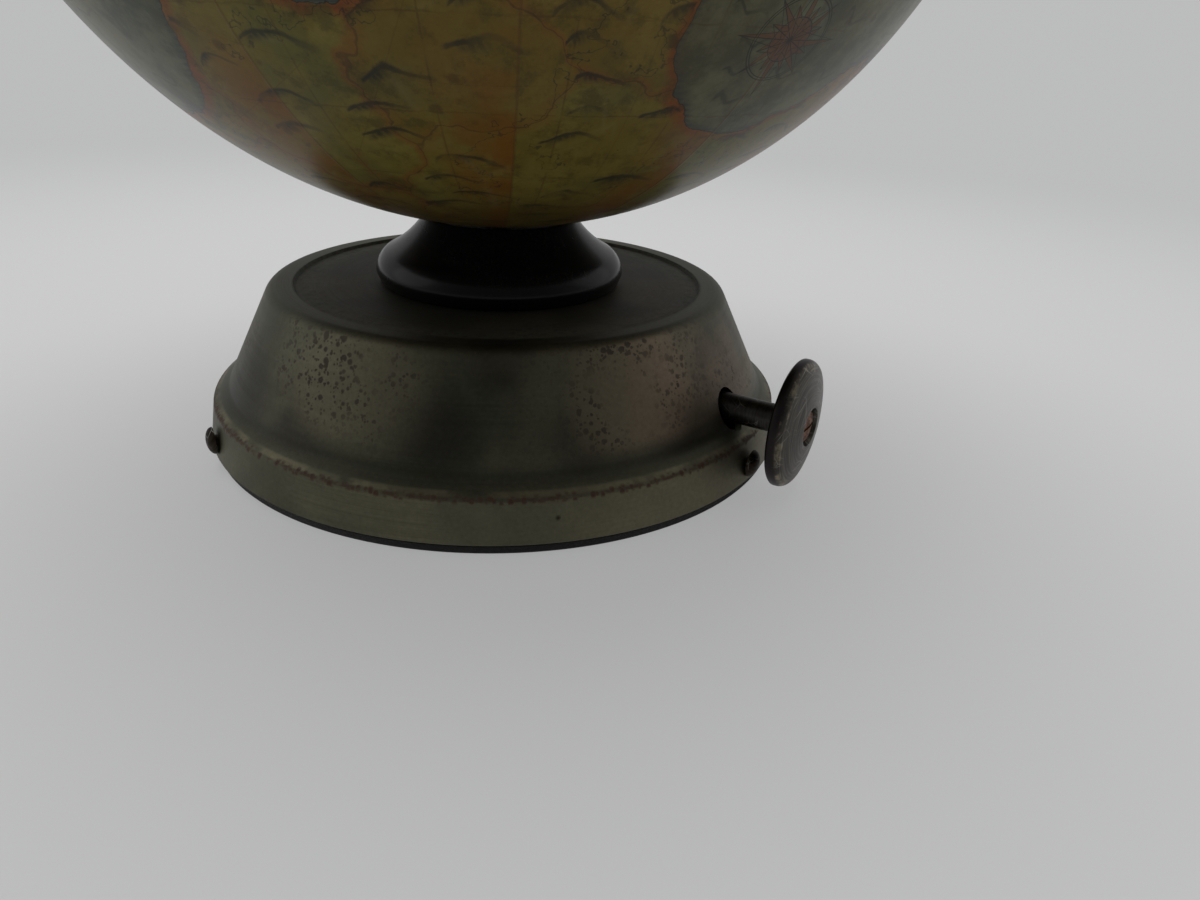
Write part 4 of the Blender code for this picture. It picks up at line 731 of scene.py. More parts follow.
def spun_steel():
    """Aged spun steel: fine turning lines, a dull top with painted shade near the collar, a brighter band
    with a painted lit side, drifts of rust specks under a painted highlight, painted shade in patches and
    along the fold, and a rubbed edge with a painted highlight.
    """
    material, r, shader, place = make_material("aged_spun_steel", Metallic=0.0)
    lines = r.group("turning_lines", Vector=place, Fineness=2600.0)
    grime = r.group("grime", Vector=place, Speck_Scale=640.0, Amount=0.95)
    small = r.group("grime", Vector=place, Speck_Scale=1150.0, Amount=0.90)
    dust = r.group("dust", Vector=place, Amount=0.12)["Dust"]
    x, _, height = r.split(place)
    radius = r.radius(place)
    # Zones of the shell
    band = r.step(height, CREASE_Z + 0.0012, CREASE_Z - 0.0004)
    disc = r.step(height, DISC_TOP - 0.0012, DISC_TOP - 0.0002) * r.step(radius, RECESS_R + 0.0006, RECESS_R)
    cone = r.step(height, KINK_Z + 0.0010, KINK_Z + 0.0060) * r.step(height, BASE_TOP, BASE_TOP - 0.0015)
    # Rust and dirt, with painted shade and painted highlights
    cluster = rust_and_highlight_drifts(r, place, cone)
    shadows = painted_shade_patches(r, place, height)
    specks = r.most(grime["Specks"], small["Specks"]) * cluster
    rust_line = rust_belt(r, place, height)
    rust = r.most(specks, rust_line)
    # Painted shade along the fold above the band
    fold_shade = r.near(height, KINK_Z + 0.0006, 0.0024, 0.0002)
    # Partly rubbed wear, partly a painted highlight along the step's edge above the crease
    rubbed_highlight = r.near(height, CREASE_Z + 0.0010, 0.0008, 0.0002) * r.patches(place, 70.0, 3.0, 0.6, 0.35, 0.60)
    pit = r.step(r.measure("DISTANCE", place, BAND_PIT), 0.0011, 0.0005)
    # Colours of the zones
    metal = r.mix(r.step(grime["Stains"], 0.35, 0.65), OLIVE_DARK, OLIVE)
    worn_and_lit = r.mix(r.step(grime["Stains"], 0.30, 0.62), r.mix(lines["Lines"], *BAND_TINTS), BAND_DULL)
    # Painted light: the band is painted lighter towards +X
    worn_and_lit = r.mix(r.step(x, -0.030, 0.050) * 0.55, worn_and_lit, BAND_LIT)
    # Painted shade: the sunken top is darker close to the collar and lighter further out, with umber patches
    disc_shaded = r.mix(r.step(radius, 0.049, 0.057), *DISC_SHADE_TINTS)
    disc_shaded = r.mix(r.patches(place, 420.0, 3.0, 0.7, 0.45, 0.65), disc_shaded, UMBER)
    tone = r.paint(
        metal,
        (lines["Lines"], 0.22, OLIVE_BRIGHT),
        (lines["Bands"], 0.22, UMBER),
        # Painted shade in patches above the band
        (shadows, 0.80, PAINTED_PATCH_SHADE),
        (fold_shade, 0.45, FOLD_SHADE),
        (band, 0.90, worn_and_lit),
        (rubbed_highlight, 0.78, RUBBED_HIGHLIGHT_EDGE),
        (disc, 0.80, disc_shaded),
        # Partly rust haze, partly a painted highlight: a lighter warm tint over the drifts, warmer towards +X
        (cluster, 0.78, r.mix(r.step(x, 0.010, 0.045), *RUST_HAZE_HIGHLIGHT_TINTS)),
        (specks, 0.85, SPECK),
        (rust_line, 0.88, RUST_RED),
        (pit, 0.9, PIT),
    )
    grain = r.mix(r.noise(place, 850.0, 3.0, 0.75), *GRAIN_TINTS)
    tone = r.mix(0.55, tone, r.mix(1.0, tone, grain, "MULTIPLY"))
    dull = r.clamped(r.most(rust * 0.9, disc * 0.32))
    rough = 0.38 + grime["Stains"] * 0.16 + r.most(rust, disc * 0.55) * 0.22
    relief = lines["Lines"] * 0.25 + (rust + pit) * -0.6
    r.fill(
        shader, Base_Color=r.mix(dust, tone, PALE_DUST), Metallic=0.95 - dull * 0.8,
        Roughness=rough + lines["Lines"] * 0.06, Normal=r.bump(relief, 0.30, 0.00010),
    )
    return material


def black_gloss():
    """Moulded glossy black with faint turning marks, scuffs and settled dust."""
    material, r, shader, place = make_material(
        "glossy_black_moulding", Metallic=0.0, IOR=1.4, Specular_IOR_Level=0.3
    )
    lines = r.group("turning_lines", Vector=place, Fineness=1400.0)
    scuffs = r.group("scuffs", Vector=place, Scale=90.0)["Scuffs"]
    dust = r.group("dust", Vector=place, Amount=0.10)["Dust"]
    tone = r.mix(lines["Bands"], (0.0034, 0.0034, 0.0035, 1), (0.0060, 0.0060, 0.0060, 1))
    tone = r.paint(tone, (scuffs, 0.08, (0.03, 0.03, 0.03, 1)))
    r.fill(
        shader, Base_Color=r.mix(dust, tone, (0.12, 0.117, 0.110, 1)),
        Roughness=0.22 + scuffs * 0.10 + dust * 0.6, Normal=r.bump(lines["Lines"], 0.10, 0.00008),
    )
    return material


def felt():
    """Pressed black felt with tangled fibres."""
    settings = {"Roughness": 0.95, "Sheen_Weight": 0.25, "Sheen_Roughness": 0.6}
    material, r, shader, place = make_material("black_felt", **settings)
    fibres = r.noise(place, 2600.0, 4.0, 0.8, 1.4)
    clumps = r.noise(place, 240.0, 3.0, 0.6)
    tone = r.mix(fibres, (0.004, 0.004, 0.004, 1), (0.028, 0.027, 0.026, 1))
    tone = r.paint(tone, (clumps, 0.5, (0.014, 0.013, 0.012, 1)))
    r.fill(shader, Base_Color=tone, Normal=r.bump(fibres + clumps, 0.8, 0.0004))
    return material


GRAIN_TURN = (0, 0, 0.4)


def board_wood():
    """Beech ply with long grain and pores."""
    material, r, shader, place = make_material("board_wood", Roughness=0.7)
    grain = r.noise(r.moved(place, rotation=GRAIN_TURN, scale=(1, 9, 9)), 30.0, 4.0, 0.6, 0.8)
    across = r.moved(place, rotation=GRAIN_TURN, scale=(1, 4, 4))
    rings = r.add("TexWave", "Fac", Vector=across, Scale=14.0, Distortion=5.0, Detail=3.0)
    pores = r.patches(r.moved(place, rotation=GRAIN_TURN, scale=(1, 14, 14)), 160.0, 2.0, 0.6, 0.60, 0.70)
    tone = r.mix(grain, (0.20, 0.12, 0.055, 1), (0.40, 0.27, 0.14, 1))
    tone = r.paint(tone, (rings, 0.45, (0.24, 0.14, 0.07, 1)))
    r.fill(
        shader, Base_Color=r.mix(pores, tone, (0.10, 0.06, 0.03, 1)),
        Roughness=0.60 + grain * 0.2, Normal=r.bump(grain - pores, 0.3, 0.0002),
    )
    return material


STEEL_SCRATCH = (0.42, 0.41, 0.38, 1)
STEEL_RUST = (0.075, 0.032, 0.014, 1)
# Knob rim: a painted dark reflection on its side, and a ring of wear and painted glint
RIM_PAINTED_SHADE = (0.030, 0.024, 0.025, 1)
RIM_WEAR_AND_GLINT = (0.34, 0.30, 0.21, 1)


def steel(name, dark, light, rough, fineness, rust_share, centre=(0, 0, 0), turn_to=(0, 0, 0), wear_and_glint=None):
    """Turned or milled steel about an axis given by a shift and a rotation, with rust; where asked, a rim
    ring that is partly wear and partly a painted glint, and a painted dark reflection on the rim's side.
    """
    material, r, shader, place = make_material(name, Metallic=1.0)
    local = r.moved(place, centre, turn_to)
    lines = r.group("turning_lines", Vector=local, Fineness=fineness)
    grime = r.group("grime", Vector=place, Speck_Scale=1300.0, Amount=0.7)
    scuffs = r.group("scuffs", Vector=place, Scale=160.0)["Scuffs"]
    rust = grime["Specks"] * rust_share
    tone = r.mix(lines["Lines"], dark, light)
    tone = r.paint(tone, (grime["Stains"], 0.35, dark), (scuffs, 0.5, STEEL_SCRATCH))
    tone = r.mix(rust, tone, STEEL_RUST)
    if wear_and_glint is not None:
        inner, outer = wear_and_glint
        radius = r.radius(local)
        ring = r.step(radius, inner, inner + 0.0005) * r.step(radius, outer + 0.0003, outer)
        # Partly wear, partly a painted glint along the rounded edge, following the turning lines
        worn_and_lit = ring * r.patches(place, 200.0, 4.0, 0.7, 0.44, 0.62) * (0.10 + lines["Lines"] * 0.80)
        # Painted dark reflection on the outer side of the rim
        tone = r.mix(r.step(radius, outer - 0.0005, outer + 0.0005), tone, RIM_PAINTED_SHADE)
        tone = r.mix(worn_and_lit, tone, RIM_WEAR_AND_GLINT)
    r.fill(
        shader, Base_Color=tone, Metallic=1.0 - rust * 0.8,
        Roughness=rough + lines["Bands"] * 0.10 + rust * 0.4, Normal=r.bump(lines["Lines"], 0.25, 0.00006),
    )
    return material


def brass():
    """Turned brass gone brown in patches."""
    material, r, shader, place = make_material("aged_brass", Metallic=1.0)
    scuffs = r.group("scuffs", Vector=place, Scale=120.0)["Scuffs"]
    grime = r.group("grime", Vector=place, Speck_Scale=900.0, Amount=0.7)
    fine = r.noise(r.moved(place, scale=(1, 1, 12)), 900.0, 2.0, 0.6)
    tone = r.mix(r.step(grime["Stains"], 0.35, 0.65), (0.60, 0.40, 0.15, 1), (0.42, 0.26, 0.09, 1))
    tone = r.paint(tone, (scuffs, 0.4, (0.85, 0.66, 0.34, 1)), (grime["Specks"], 0.6, (0.10, 0.055, 0.02, 1)))
    rough = 0.22 + grime["Stains"] * 0.25
    r.fill(shader, Base_Color=tone, Roughness=rough, Normal=r.bump(fine, 0.15, 0.00008))
    return material


def gilt():
    """Thin gilt ring with turning lines, patchy dull stains, specks and dust."""
    material, r, shader, place = make_material("rubbed_gilt", Metallic=1.0)
    lines = r.group("turning_lines", Vector=r.moved(place, (0, 0, -GLOBE_Z)), Fineness=2400.0)["Lines"]
    grime = r.group("grime", Vector=place, Speck_Scale=800.0, Amount=0.7)
    dust = r.group("dust", Vector=place, Amount=0.25)["Dust"]
    tone = r.mix(lines, (0.46, 0.31, 0.11, 1), (0.62, 0.45, 0.18, 1))
    layers = ((grime["Stains"], 0.5, (0.30, 0.19, 0.07, 1)), (grime["Specks"], 0.7, (0.08, 0.045, 0.02, 1)))
    tone = r.paint(tone, *layers)
    r.fill(
        shader, Base_Color=r.mix(dust, tone, (0.30, 0.27, 0.22, 1)), Metallic=r.clamped(1.0 - dust * 1.5),
        Roughness=0.26 + grime["Stains"] * 0.22, Normal=r.bump(lines, 0.15, 0.00006),
    )
    return material


def rusty_copper():
    """Slotted screw gone copper-red, with a patchy rust crust and specks all over."""
    material, r, shader, place = make_material("rusty_copper_screw")
    grime = r.group("grime", Vector=place, Speck_Scale=1500.0, Amount=0.9)
    crust = r.patches(place, 700.0, 4.0, 0.7, 0.42, 0.62)
    tone = r.mix(crust, (0.200, 0.080, 0.034, 1), (0.088, 0.032, 0.013, 1))
    r.fill(
        shader, Base_Color=r.paint(tone, (grime["Specks"], 0.7, (0.045, 0.020, 0.010, 1))),
        Metallic=0.85 - crust * 0.6, Roughness=0.38 + crust * 0.35, Normal=r.bump(crust, 0.4, 0.0001),
    )
    return material


def flock():
    """Dark red flocking on the tray, with a little lint."""
    settings = {"Roughness": 0.95, "Sheen_Weight": 0.6, "Sheen_Roughness": 0.4}
    material, r, shader, place = make_material("red_flock", **settings)
    pile = r.noise(place, 3200.0, 3.0, 0.8)
    shade = r.step(r.noise(place, 30.0, 3.0, 0.6, 0.5), 0.35, 0.70)
    lint = r.patches(place, 1500.0, 2.0, 0.5, 0.70, 0.78)
    tone = r.mix(pile, (0.085, 0.006, 0.009, 1), (0.20, 0.018, 0.024, 1))
    tone = r.paint(r.mix(shade, tone, (0.13, 0.012, 0.016, 1)), (lint, 0.5, (0.32, 0.22, 0.20, 1)))
    r.fill(shader, Base_Color=tone, Normal=r.bump(pile, 0.7, 0.0003))
    return material


def glass(name, frosted=None):
    """Clear pressed glass with faint ripples; the ground part between two heights is frosted."""
    material, r, shader, place = make_material(name, Transmission_Weight=1.0, IOR=1.5, Metallic=0.0)
    smears = r.step(r.noise(place, 60.0, 4.0, 0.7, 0.6), 0.45, 0.75)
    rough = 0.01 + smears * 0.05
    if frosted is not None:
        foot, top = frosted
        _, _, height = r.split(place)
        ground = r.step(height, foot - 0.0003, foot) * r.step(height, top + 0.0003, top)
        rough = r.most(rough, ground * 0.42)
    tone = r.mix(smears, (0.97, 0.985, 0.98, 1), (0.92, 0.95, 0.945, 1))
    ripple = r.noise(place, 90.0, 2.0, 0.5)
    r.fill(shader, Base_Color=tone, Roughness=rough, Normal=r.bump(ripple, 0.06, 0.0006))
    return material


SEA = (0.066, 0.078, 0.054, 1)
SEA_GREEN = (0.150, 0.160, 0.098, 1)
PAPER = (0.178, 0.136, 0.026, 1)
PAPER_PALE = (0.225, 0.185, 0.046, 1)
PAPER_GREEN = (0.098, 0.106, 0.030, 1)
PAPER_ORANGE = (0.205, 0.080, 0.014, 1)
WASH_RED = (0.230, 0.052, 0.020, 1)
INK = (0.020, 0.023, 0.022, 1)
INK_BROWN = (0.075, 0.040, 0.016, 1)
COAST_SHADE = (0.040, 0.055, 0.058, 1)
LAND_SHADE = (0.036, 0.032, 0.018, 1)
BLOTCH = (0.060, 0.056, 0.018, 1)
ROSE_FILL = (0.150, 0.048, 0.022, 1)
SEAM = (0.120, 0.060, 0.022, 1)
STAIN = (0.105, 0.072, 0.018, 1)
# Darker towards the south pole
POLE_DARKENING = (0.050, 0.030, 0.010, 1)
SCUFF_PALE = (0.36, 0.31, 0.17, 1)
MAP_GRAIN = ((0.55, 0.55, 0.50, 1), (1.35, 1.35, 1.30, 1))
# Directions of the open seas round the southern land, with the cosines where each fades in
BAYS = (
    ((-0.690, -0.440, -0.575), 0.930, 0.975),
    ((-0.290, -0.830, -0.477), 0.983, 0.998),
    ((0.441, -0.677, -0.590), 0.966, 0.990),
    ((0.700, -0.500, -0.510), 0.950, 0.985),
    ((0.300, 0.760, -0.577), 0.930, 0.980),
)
# Directions and sizes of the compass roses
ROSES = (((0.25, -0.86, 0.44), 0.17), ((0.441, -0.677, -0.590), 0.115), ((-0.62, 0.60, -0.50), 0.15))
HILLS = {"Row": 0.062, "Width": 0.155, "Bows": 0.5, "Rise": 0.32, "Shade": 1.0, "Share": 0.66}
WAVES = {"Row": 0.055, "Width": 0.13, "Bows": 1.5, "Rise": 0.16, "Shade": 0.0, "Share": 0.55}
GORE_COUNT = 12
GORE_START = math.radians(88)
PARALLEL_STEP = math.radians(10)
MERIDIAN_STEP = math.radians(15)


def map_land(r, way, height):
    """How far above the sea each place lies, over 0 on land."""
    outline = r.noise(way + (3.1, 1.7, 0.4), 1.25, 7.0, 0.56, 0.25)
    level = outline + r.step(height, -0.30, -0.80) * 0.24 - 0.505
    for bay, faint, full in BAYS:
        level = level - r.step(r.measure("DOT_PRODUCT", way, bay), faint, full) * 0.24
    return level


def map_paper(r, way, level, border, draw):
    """The land's paper: mottled, tinted region by region, washed along borders and coasts."""
    orange_draw, green_draw, wash_draw = draw
    coast_wash = r.step(level, 0.085, 0.014) * r.patches(way, 6.0, 4.0, 0.6, 0.34, 0.52)
    rough_land = r.patches(way, 16.0, 5.0, 0.7, 0.50, 0.60) * r.step(level, 0.13, 0.05)
    mottled = r.step(r.noise(way, 7.0, 6.0, 0.70, 0.5), 0.35, 0.65)
    paper = r.paint(
        r.mix(mottled, PAPER, PAPER_PALE),
        (r.patches(way + (5.0, 1.0, 2.0), 5.0, 5.0, 0.65, 0.50, 0.66), 0.60, PAPER_GREEN),
        (r.step(orange_draw, 0.55, 0.75), 0.22, PAPER_ORANGE),
        (r.step(green_draw, 0.60, 0.85), 0.45, PAPER_GREEN),
        (r.step(border, 0.055, 0.0), 0.15 + wash_draw * 0.40, WASH_RED),
        (coast_wash, 0.80, WASH_RED),
        (rough_land, 0.75, LAND_SHADE),
        (r.patches(way + (2.0, 8.0, 1.0), 19.0, 6.0, 0.74, 0.48, 0.64), 0.58, BLOTCH),
    )
    return paper


def map_sea(r, way, level, latitude):
    """The sea with ruled shading along its shores."""
    sea = r.mix(r.patches(way, 9.0, 6.0, 0.7, 0.36, 0.62), SEA, SEA_GREEN)
    ruled = r.step(r.math("SINE", latitude * 520.0), -0.2, 0.7)
    return r.paint(sea, (r.step(level, -0.050, -0.004), 0.45 + ruled * 0.40, COAST_SHADE))


def map_grid(r, way, latitude, longitude, ring):
    """Hand-ruled parallels and meridians, faint in places."""
    wiggle = (r.noise(way, 26.0, 3.0, 0.6) - 0.5) * 0.012
    parallel = r.near(r.math("FRACT", (latitude + wiggle) / PARALLEL_STEP), 0.5, 0.014, 0.004)
    off_meridian = abs(r.math("FRACT", longitude / MERIDIAN_STEP) - 0.5) * ring
    meridian = r.step(off_meridian, 0.009, 0.003)
    return r.most(parallel, meridian) * r.patches(way, 11.0, 2.0, 0.5, 0.36, 0.56)


def map_ink(r, way, level, land, border):
    """Hills, waves, coasts, frontiers and rivers in the dark ink."""
    hills = r.group("row_symbols", Vector=way, **HILLS)["Ink"] * r.step(level, 0.012, 0.022)
    waves = r.group("row_symbols", Vector=way, **WAVES)["Ink"] * r.step(level, -0.030, -0.050)
    coast = r.step(abs(level), 0.0040, 0.0015)
    frontier = r.step(border, 0.006, 0.002) * land
    from_river = abs(r.noise(way + (7.0, 2.0, 5.0), 2.6, 6.0, 0.62) - 0.5)
    river = r.step(from_river, 0.0035, 0.0012) * land
    return r.most(hills * 0.80, waves * 0.55, r.most(coast, frontier * 0.5) * 0.75, river * 0.55)


def old_map():
    """Varnished map in the manner of old globes: coasts, hills, waves, a graticule and compass roses."""
    material, r, shader, place = make_material(
        "varnished_old_map", Roughness=0.5, Coat_Weight=0.74, Coat_Roughness=0.26, Coat_IOR=1.22,
        Specular_IOR_Level=0.08,
    )
    way = r.vector("NORMALIZE", r.moved(place, (0, 0, -GLOBE_Z)))
    x, y, height = r.split(way)
    latitude = r.math("ARCSINE", height)
    longitude = r.math("ARCTAN2", y, x)
    ring = r.radius(way)
    level = map_land(r, way, height)
    land = r.step(level, -0.001, 0.001)
    # Regions with wandering borders
    wobble = r.add("TexNoise", "Color", Vector=way, Scale=4.0, Detail=4.0)
    bent = way + (wobble - (0.5, 0.5, 0.5)) * 0.35
    border = r.cells(bent, 2.4, "DISTANCE_TO_EDGE")
    draw = r.channels(r.cells(bent, 2.4, "F1", "Color"))
    colour = r.mix(land, map_sea(r, way, level, latitude), map_paper(r, way, level, border, draw))
    # Gores, each printed a little differently, with a darker overlap at the seam
    gores = (longitude + GORE_START) * (GORE_COUNT / FULL_TURN)
    within = r.math("FRACT", gores)
    tint = r.add("TexWhiteNoise", "Value", {"noise_dimensions": "1D"}, W=r.math("FLOOR", gores))
    south = r.step(height, -0.52, -0.78)
    stripe = r.step(within, 0.52, 0.90) * (0.12 + south * 0.75) * r.patches(way, 9.0, 3.0, 0.6, 0.28, 0.60)
    seam = r.step(r.math("MINIMUM", within, 1.0 - within) * ring, 0.0065, 0.0020)
    colour = r.paint(colour, (tint, 0.16, PAPER_ORANGE))
    colour = r.mix(stripe * land, colour, PAPER_ORANGE)
    # Drawn lines
    colour = r.paint(colour, (map_grid(r, way, latitude, longitude, ring), 0.40, INK_BROWN))
    colour = r.mix(map_ink(r, way, level, land, border), colour, INK)
    for centre, size in ROSES:
        rose = r.group("compass_rose", Vector=way, Centre=centre, Size=size)
        colour = r.paint(colour, (rose["Rhumbs"], 0.22, INK_BROWN), (rose["Fill"], 0.62, ROSE_FILL))
        colour = r.paint(colour, (rose["Ink"], 0.85, INK))
    # Age, and darker towards the south pole
    stains = r.step(r.noise(way, 3.4, 6.0, 0.62, 0.6), 0.46, 0.74)
    grain = r.noise(way, 190.0, 3.0, 0.7)
    specks = r.group("grime", Vector=place, Speck_Scale=260.0, Amount=0.55)["Specks"]
    scuffs = r.group("scuffs", Vector=place, Scale=26.0)["Scuffs"]
    # Darker towards the south pole, next to the collar
    pole = r.step(height, -0.80, -0.94)
    colour = r.paint(colour, (seam, 0.45, SEAM), (pole, 0.50, POLE_DARKENING), (stains, 0.40, STAIN))
    colour = r.mix(0.30, colour, r.mix(grain, *MAP_GRAIN), "MULTIPLY")
    colour = r.paint(colour, (specks, 0.50, INK_BROWN), (scuffs, 0.10, SCUFF_PALE))
    relief = seam * 0.9 + r.noise(place, 55.0, 3.0, 0.5) * 0.35 + grain * 0.10
    r.fill(shader, Base_Color=colour, Normal=r.bump(relief, 0.25, 0.0004), Roughness=0.42 + grain * 0.2)
    return material


def lid_lining():
    """Painted inside of the shells: warm brown lacquer with brush marks."""
    material, r, shader, place = make_material("brown_lacquer", Coat_Weight=0.2)
    lines = r.group("turning_lines", Vector=r.moved(place, (0, 0, -GLOBE_Z)), Fineness=500.0)["Lines"]
    patches = r.noise(place, 18.0, 4.0, 0.6, 0.4)
    tone = r.mix(r.step(patches, 0.3, 0.7), (0.060, 0.028, 0.014, 1), (0.090, 0.044, 0.022, 1))
    tone = r.paint(tone, (lines, 0.25, (0.12, 0.062, 0.032, 1)))
    r.fill(shader, Base_Color=tone, Roughness=0.40 + patches * 0.2, Normal=r.bump(lines, 0.15, 0.0001))
    return material


make_turning_lines()
make_grime()
make_dust()
make_scuffs()
make_row_symbols()
make_compass_rose()

shaft_turn = SHAFT_FRAME.inverted()
SHAFT_AXIS = {"centre": tuple(shaft_turn.translation), "turn_to": tuple(shaft_turn.to_euler())}
# Radii of the knob's ring of wear and painted glint
KNOB_WEAR_AND_GLINT = (KNOB_R - 0.0026, KNOB_R - 0.0006)
STOPPER_FOOT = GLOBE_Z + TRAY_TOP - DECANTER_WELL_DEPTH + SEAT_GAP + MOUTH

SPUN = spun_steel()
BLACK = black_gloss()
FELT = felt()
WOOD = board_wood()
BRASS = brass()
GILT = gilt()
COPPER = rusty_copper()
FLOCK = flock()
MAP = old_map()
LINING = lid_lining()
KNOB_STEEL = steel(
    "dark_nickel_knob", (0.042, 0.038, 0.033, 1), (0.122, 0.110, 0.094, 1), 0.34, 2600.0, 0.25,
    wear_and_glint=KNOB_WEAR_AND_GLINT, **SHAFT_AXIS,
)
SHAFT_STEEL = steel(
    "blued_shaft_steel", (0.030, 0.029, 0.027, 1), (0.060, 0.058, 0.054, 1), 0.34, 2200.0, 0.35, **SHAFT_AXIS
)
SCREW_STEEL = steel("dark_screw_steel", (0.022, 0.017, 0.013, 1), (0.052, 0.040, 0.029, 1), 0.48, 1600.0, 0.8)
BRIGHT_STEEL = steel("bright_movement_steel", (0.42, 0.42, 0.40, 1), (0.60, 0.60, 0.58, 1), 0.24, 900.0, 0.15)
CLEAR_GLASS = glass("clear_pressed_glass")
STOPPER_GLASS = glass("ground_stopper_glass", (STOPPER_FOOT - PLUG_LENGTH, STOPPER_FOOT))


# Base


def softened(points, corner, radius, steps):
    """Rounds one corner of an outline."""
    before, spot, after = (Vector(points[index]) for index in (corner - 1, corner, corner + 1))
    back = (before - spot).normalized()
    ahead = (after - spot).normalized()
    half = back.angle(ahead) / 2
    centre = spot + (back + ahead).normalized() * radius / math.sin(half)
    first = spot + back * radius / math.tan(half) - centre
    last = spot + ahead * radius / math.tan(half) - centre
    directions = [first.lerp(last, step / steps).normalized() for step in range(steps + 1)]
    curve = [tuple(centre + direction * radius) for direction in directions]
    return points[:corner] + curve + points[corner + 1:]


def inner_wall(points, wall):
    """The same outline moved to its left by the wall."""
    spots = [Vector(point) for point in points]
    runs = [(b - a).normalized() for a, b in zip(spots, spots[1:])]
    lefts = [Vector((-run.y, run.x)) for run in runs]
    result = []
    for index, spot in enumerate(spots):
        first = lefts[max(index - 1, 0)]
        second = lefts[min(index, len(lefts) - 1)]
        result.append(tuple(spot + (first + second) * wall / (1 + first.dot(second))))
    return result


def make_spun_shell():
    """Spun base: tapered band, step, cove, cone, rolled edge and sunken top, with the shaft's hole."""
    points = [(BAND_R - SOFT_EDGE, BOARD_FOOT), (BAND_R, BOARD_FOOT + SOFT_EDGE), (CREASE_R, CREASE_Z)]
    points += [(KINK_R, KINK_Z), (CONE_TOP_R, BASE_TOP), (RECESS_R, BASE_TOP)]
    points = softened(points, 4, TOP_EDGE_RADIUS, 10)
    points = softened(points, 3, COVE_RADIUS, 8)
    points = softened(points, 2, STEP_EDGE_RADIUS, 6)
    points += [(RECESS_R - RECESS_SLOPE, DISC_TOP), (PIVOT_HOLE_R, DISC_TOP)]
    shell = turn("spun_shell", points + inner_wall(points, SHEET)[::-1], LARGE_STEPS)
    reach = BAND_R + SHEET
    depth = reach - KINK_R + SHAFT_HOLE_OVERRUN
    hole = begin("shaft_hole", "cylinder", vertices=SMALL_STEPS, radius=SHAFT_HOLE_R, depth=depth)
    put(hole, SHAFT_FRAME @ Matrix.Translation((-SHAFT_HOLE_OFFSET, 0, reach - depth / 2)))
    carve(shell, hole)
    finish(shell, SPUN, "root", "spun_steel", "base_shell")


def make_felt():
    inner_r = FELT_R - SOFT_EDGE
    points = [(0, 0), (inner_r, 0), (FELT_R, FELT_EDGE), (FELT_R, FELT_THICKNESS - FELT_EDGE)]
    points += [(inner_r, FELT_THICKNESS), (0, FELT_THICKNESS)]
    finish(turn("felt_disc", points, LARGE_STEPS), FELT, "root", "black_felt", "felt_pad")


def make_side_screws():
    """Domed heads; the shank is hidden in the board."""
    for index, azimuth in enumerate(SIDE_SCREW_AZIMUTHS):
        head = arc((0, 0), (SIDE_SCREW_R, SIDE_SCREW_HEIGHT), 0, QUARTER, 8)[:-1] + [(0, SIDE_SCREW_HEIGHT)]
        shank = [(0, -SIDE_SCREW_LENGTH), (SIDE_SCREW_TIP_R, SIDE_SCREW_TIP_R - SIDE_SCREW_LENGTH)]
        shank += [(SIDE_SCREW_SHANK_R, -SIDE_SCREW_TAPER), (SIDE_SCREW_SHANK_R, 0)]
        rim = [(SIDE_SCREW_R - FINE_EDGE, -FINE_EDGE / 2)]
        screw = turn(f"band_screw_{index + 1}", shank + rim + head, SMALL_STEPS)
        place = Matrix.Translation((0, 0, SIDE_SCREW_Z)) @ outward(azimuth)
        put(screw, place @ Matrix.Translation((0, 0, SIDE_SCREW_SEAT)))
        finish(screw, SCREW_STEEL, "root", "dark_steel", f"side_screw_{index + 1}")


def curve(first, bend, last, steps):
    """Points along a quadratic curve, ends included."""
    shares = [step / steps for step in range(steps + 1)]
    return [tuple(first * (1 - s) ** 2 + bend * 2 * s * (1 - s) + last * s**2) for s in shares]


def make_collar():
    """Turned collar: upright side, rounded shoulder, hollow flare and a seat that follows the globe."""
    seat_r = GLOBE_R + COLLAR_SEAT_GAP
    side = Vector((COLLAR_SIDE_R, COLLAR_SIDE_Z))
    corner = Vector((COLLAR_SIDE_R, COLLAR_CORNER_Z))
    neck = Vector((COLLAR_NECK_R, GLOBE_Z - math.sqrt(seat_r**2 - COLLAR_NECK_R**2)))
    shoulder = corner + (neck - corner).normalized() * COLLAR_EDGE_REACH
    waist = (shoulder + neck) / 2 - Vector((COLLAR_WAIST, COLLAR_WAIST)) * 2
    low, high = math.asin(PIVOT_HOLE_R / seat_r), math.asin(COLLAR_NECK_R / seat_r)
    seat = arc((0, GLOBE_Z), (seat_r, -seat_r), QUARTER - high, QUARTER - low, 12)
    points = [(PIVOT_HOLE_R, COLLAR_FOOT), (COLLAR_FOOT_R, COLLAR_FOOT)]
    points += curve(side, corner, shoulder, 10) + curve(shoulder, waist, neck, 12)[1:-1] + seat
    collar = soften(turn("turned_collar", points, LARGE_STEPS), SOFT_EDGE, 3)
    finish(collar, BLACK, "root", "black_plastic", "collar")


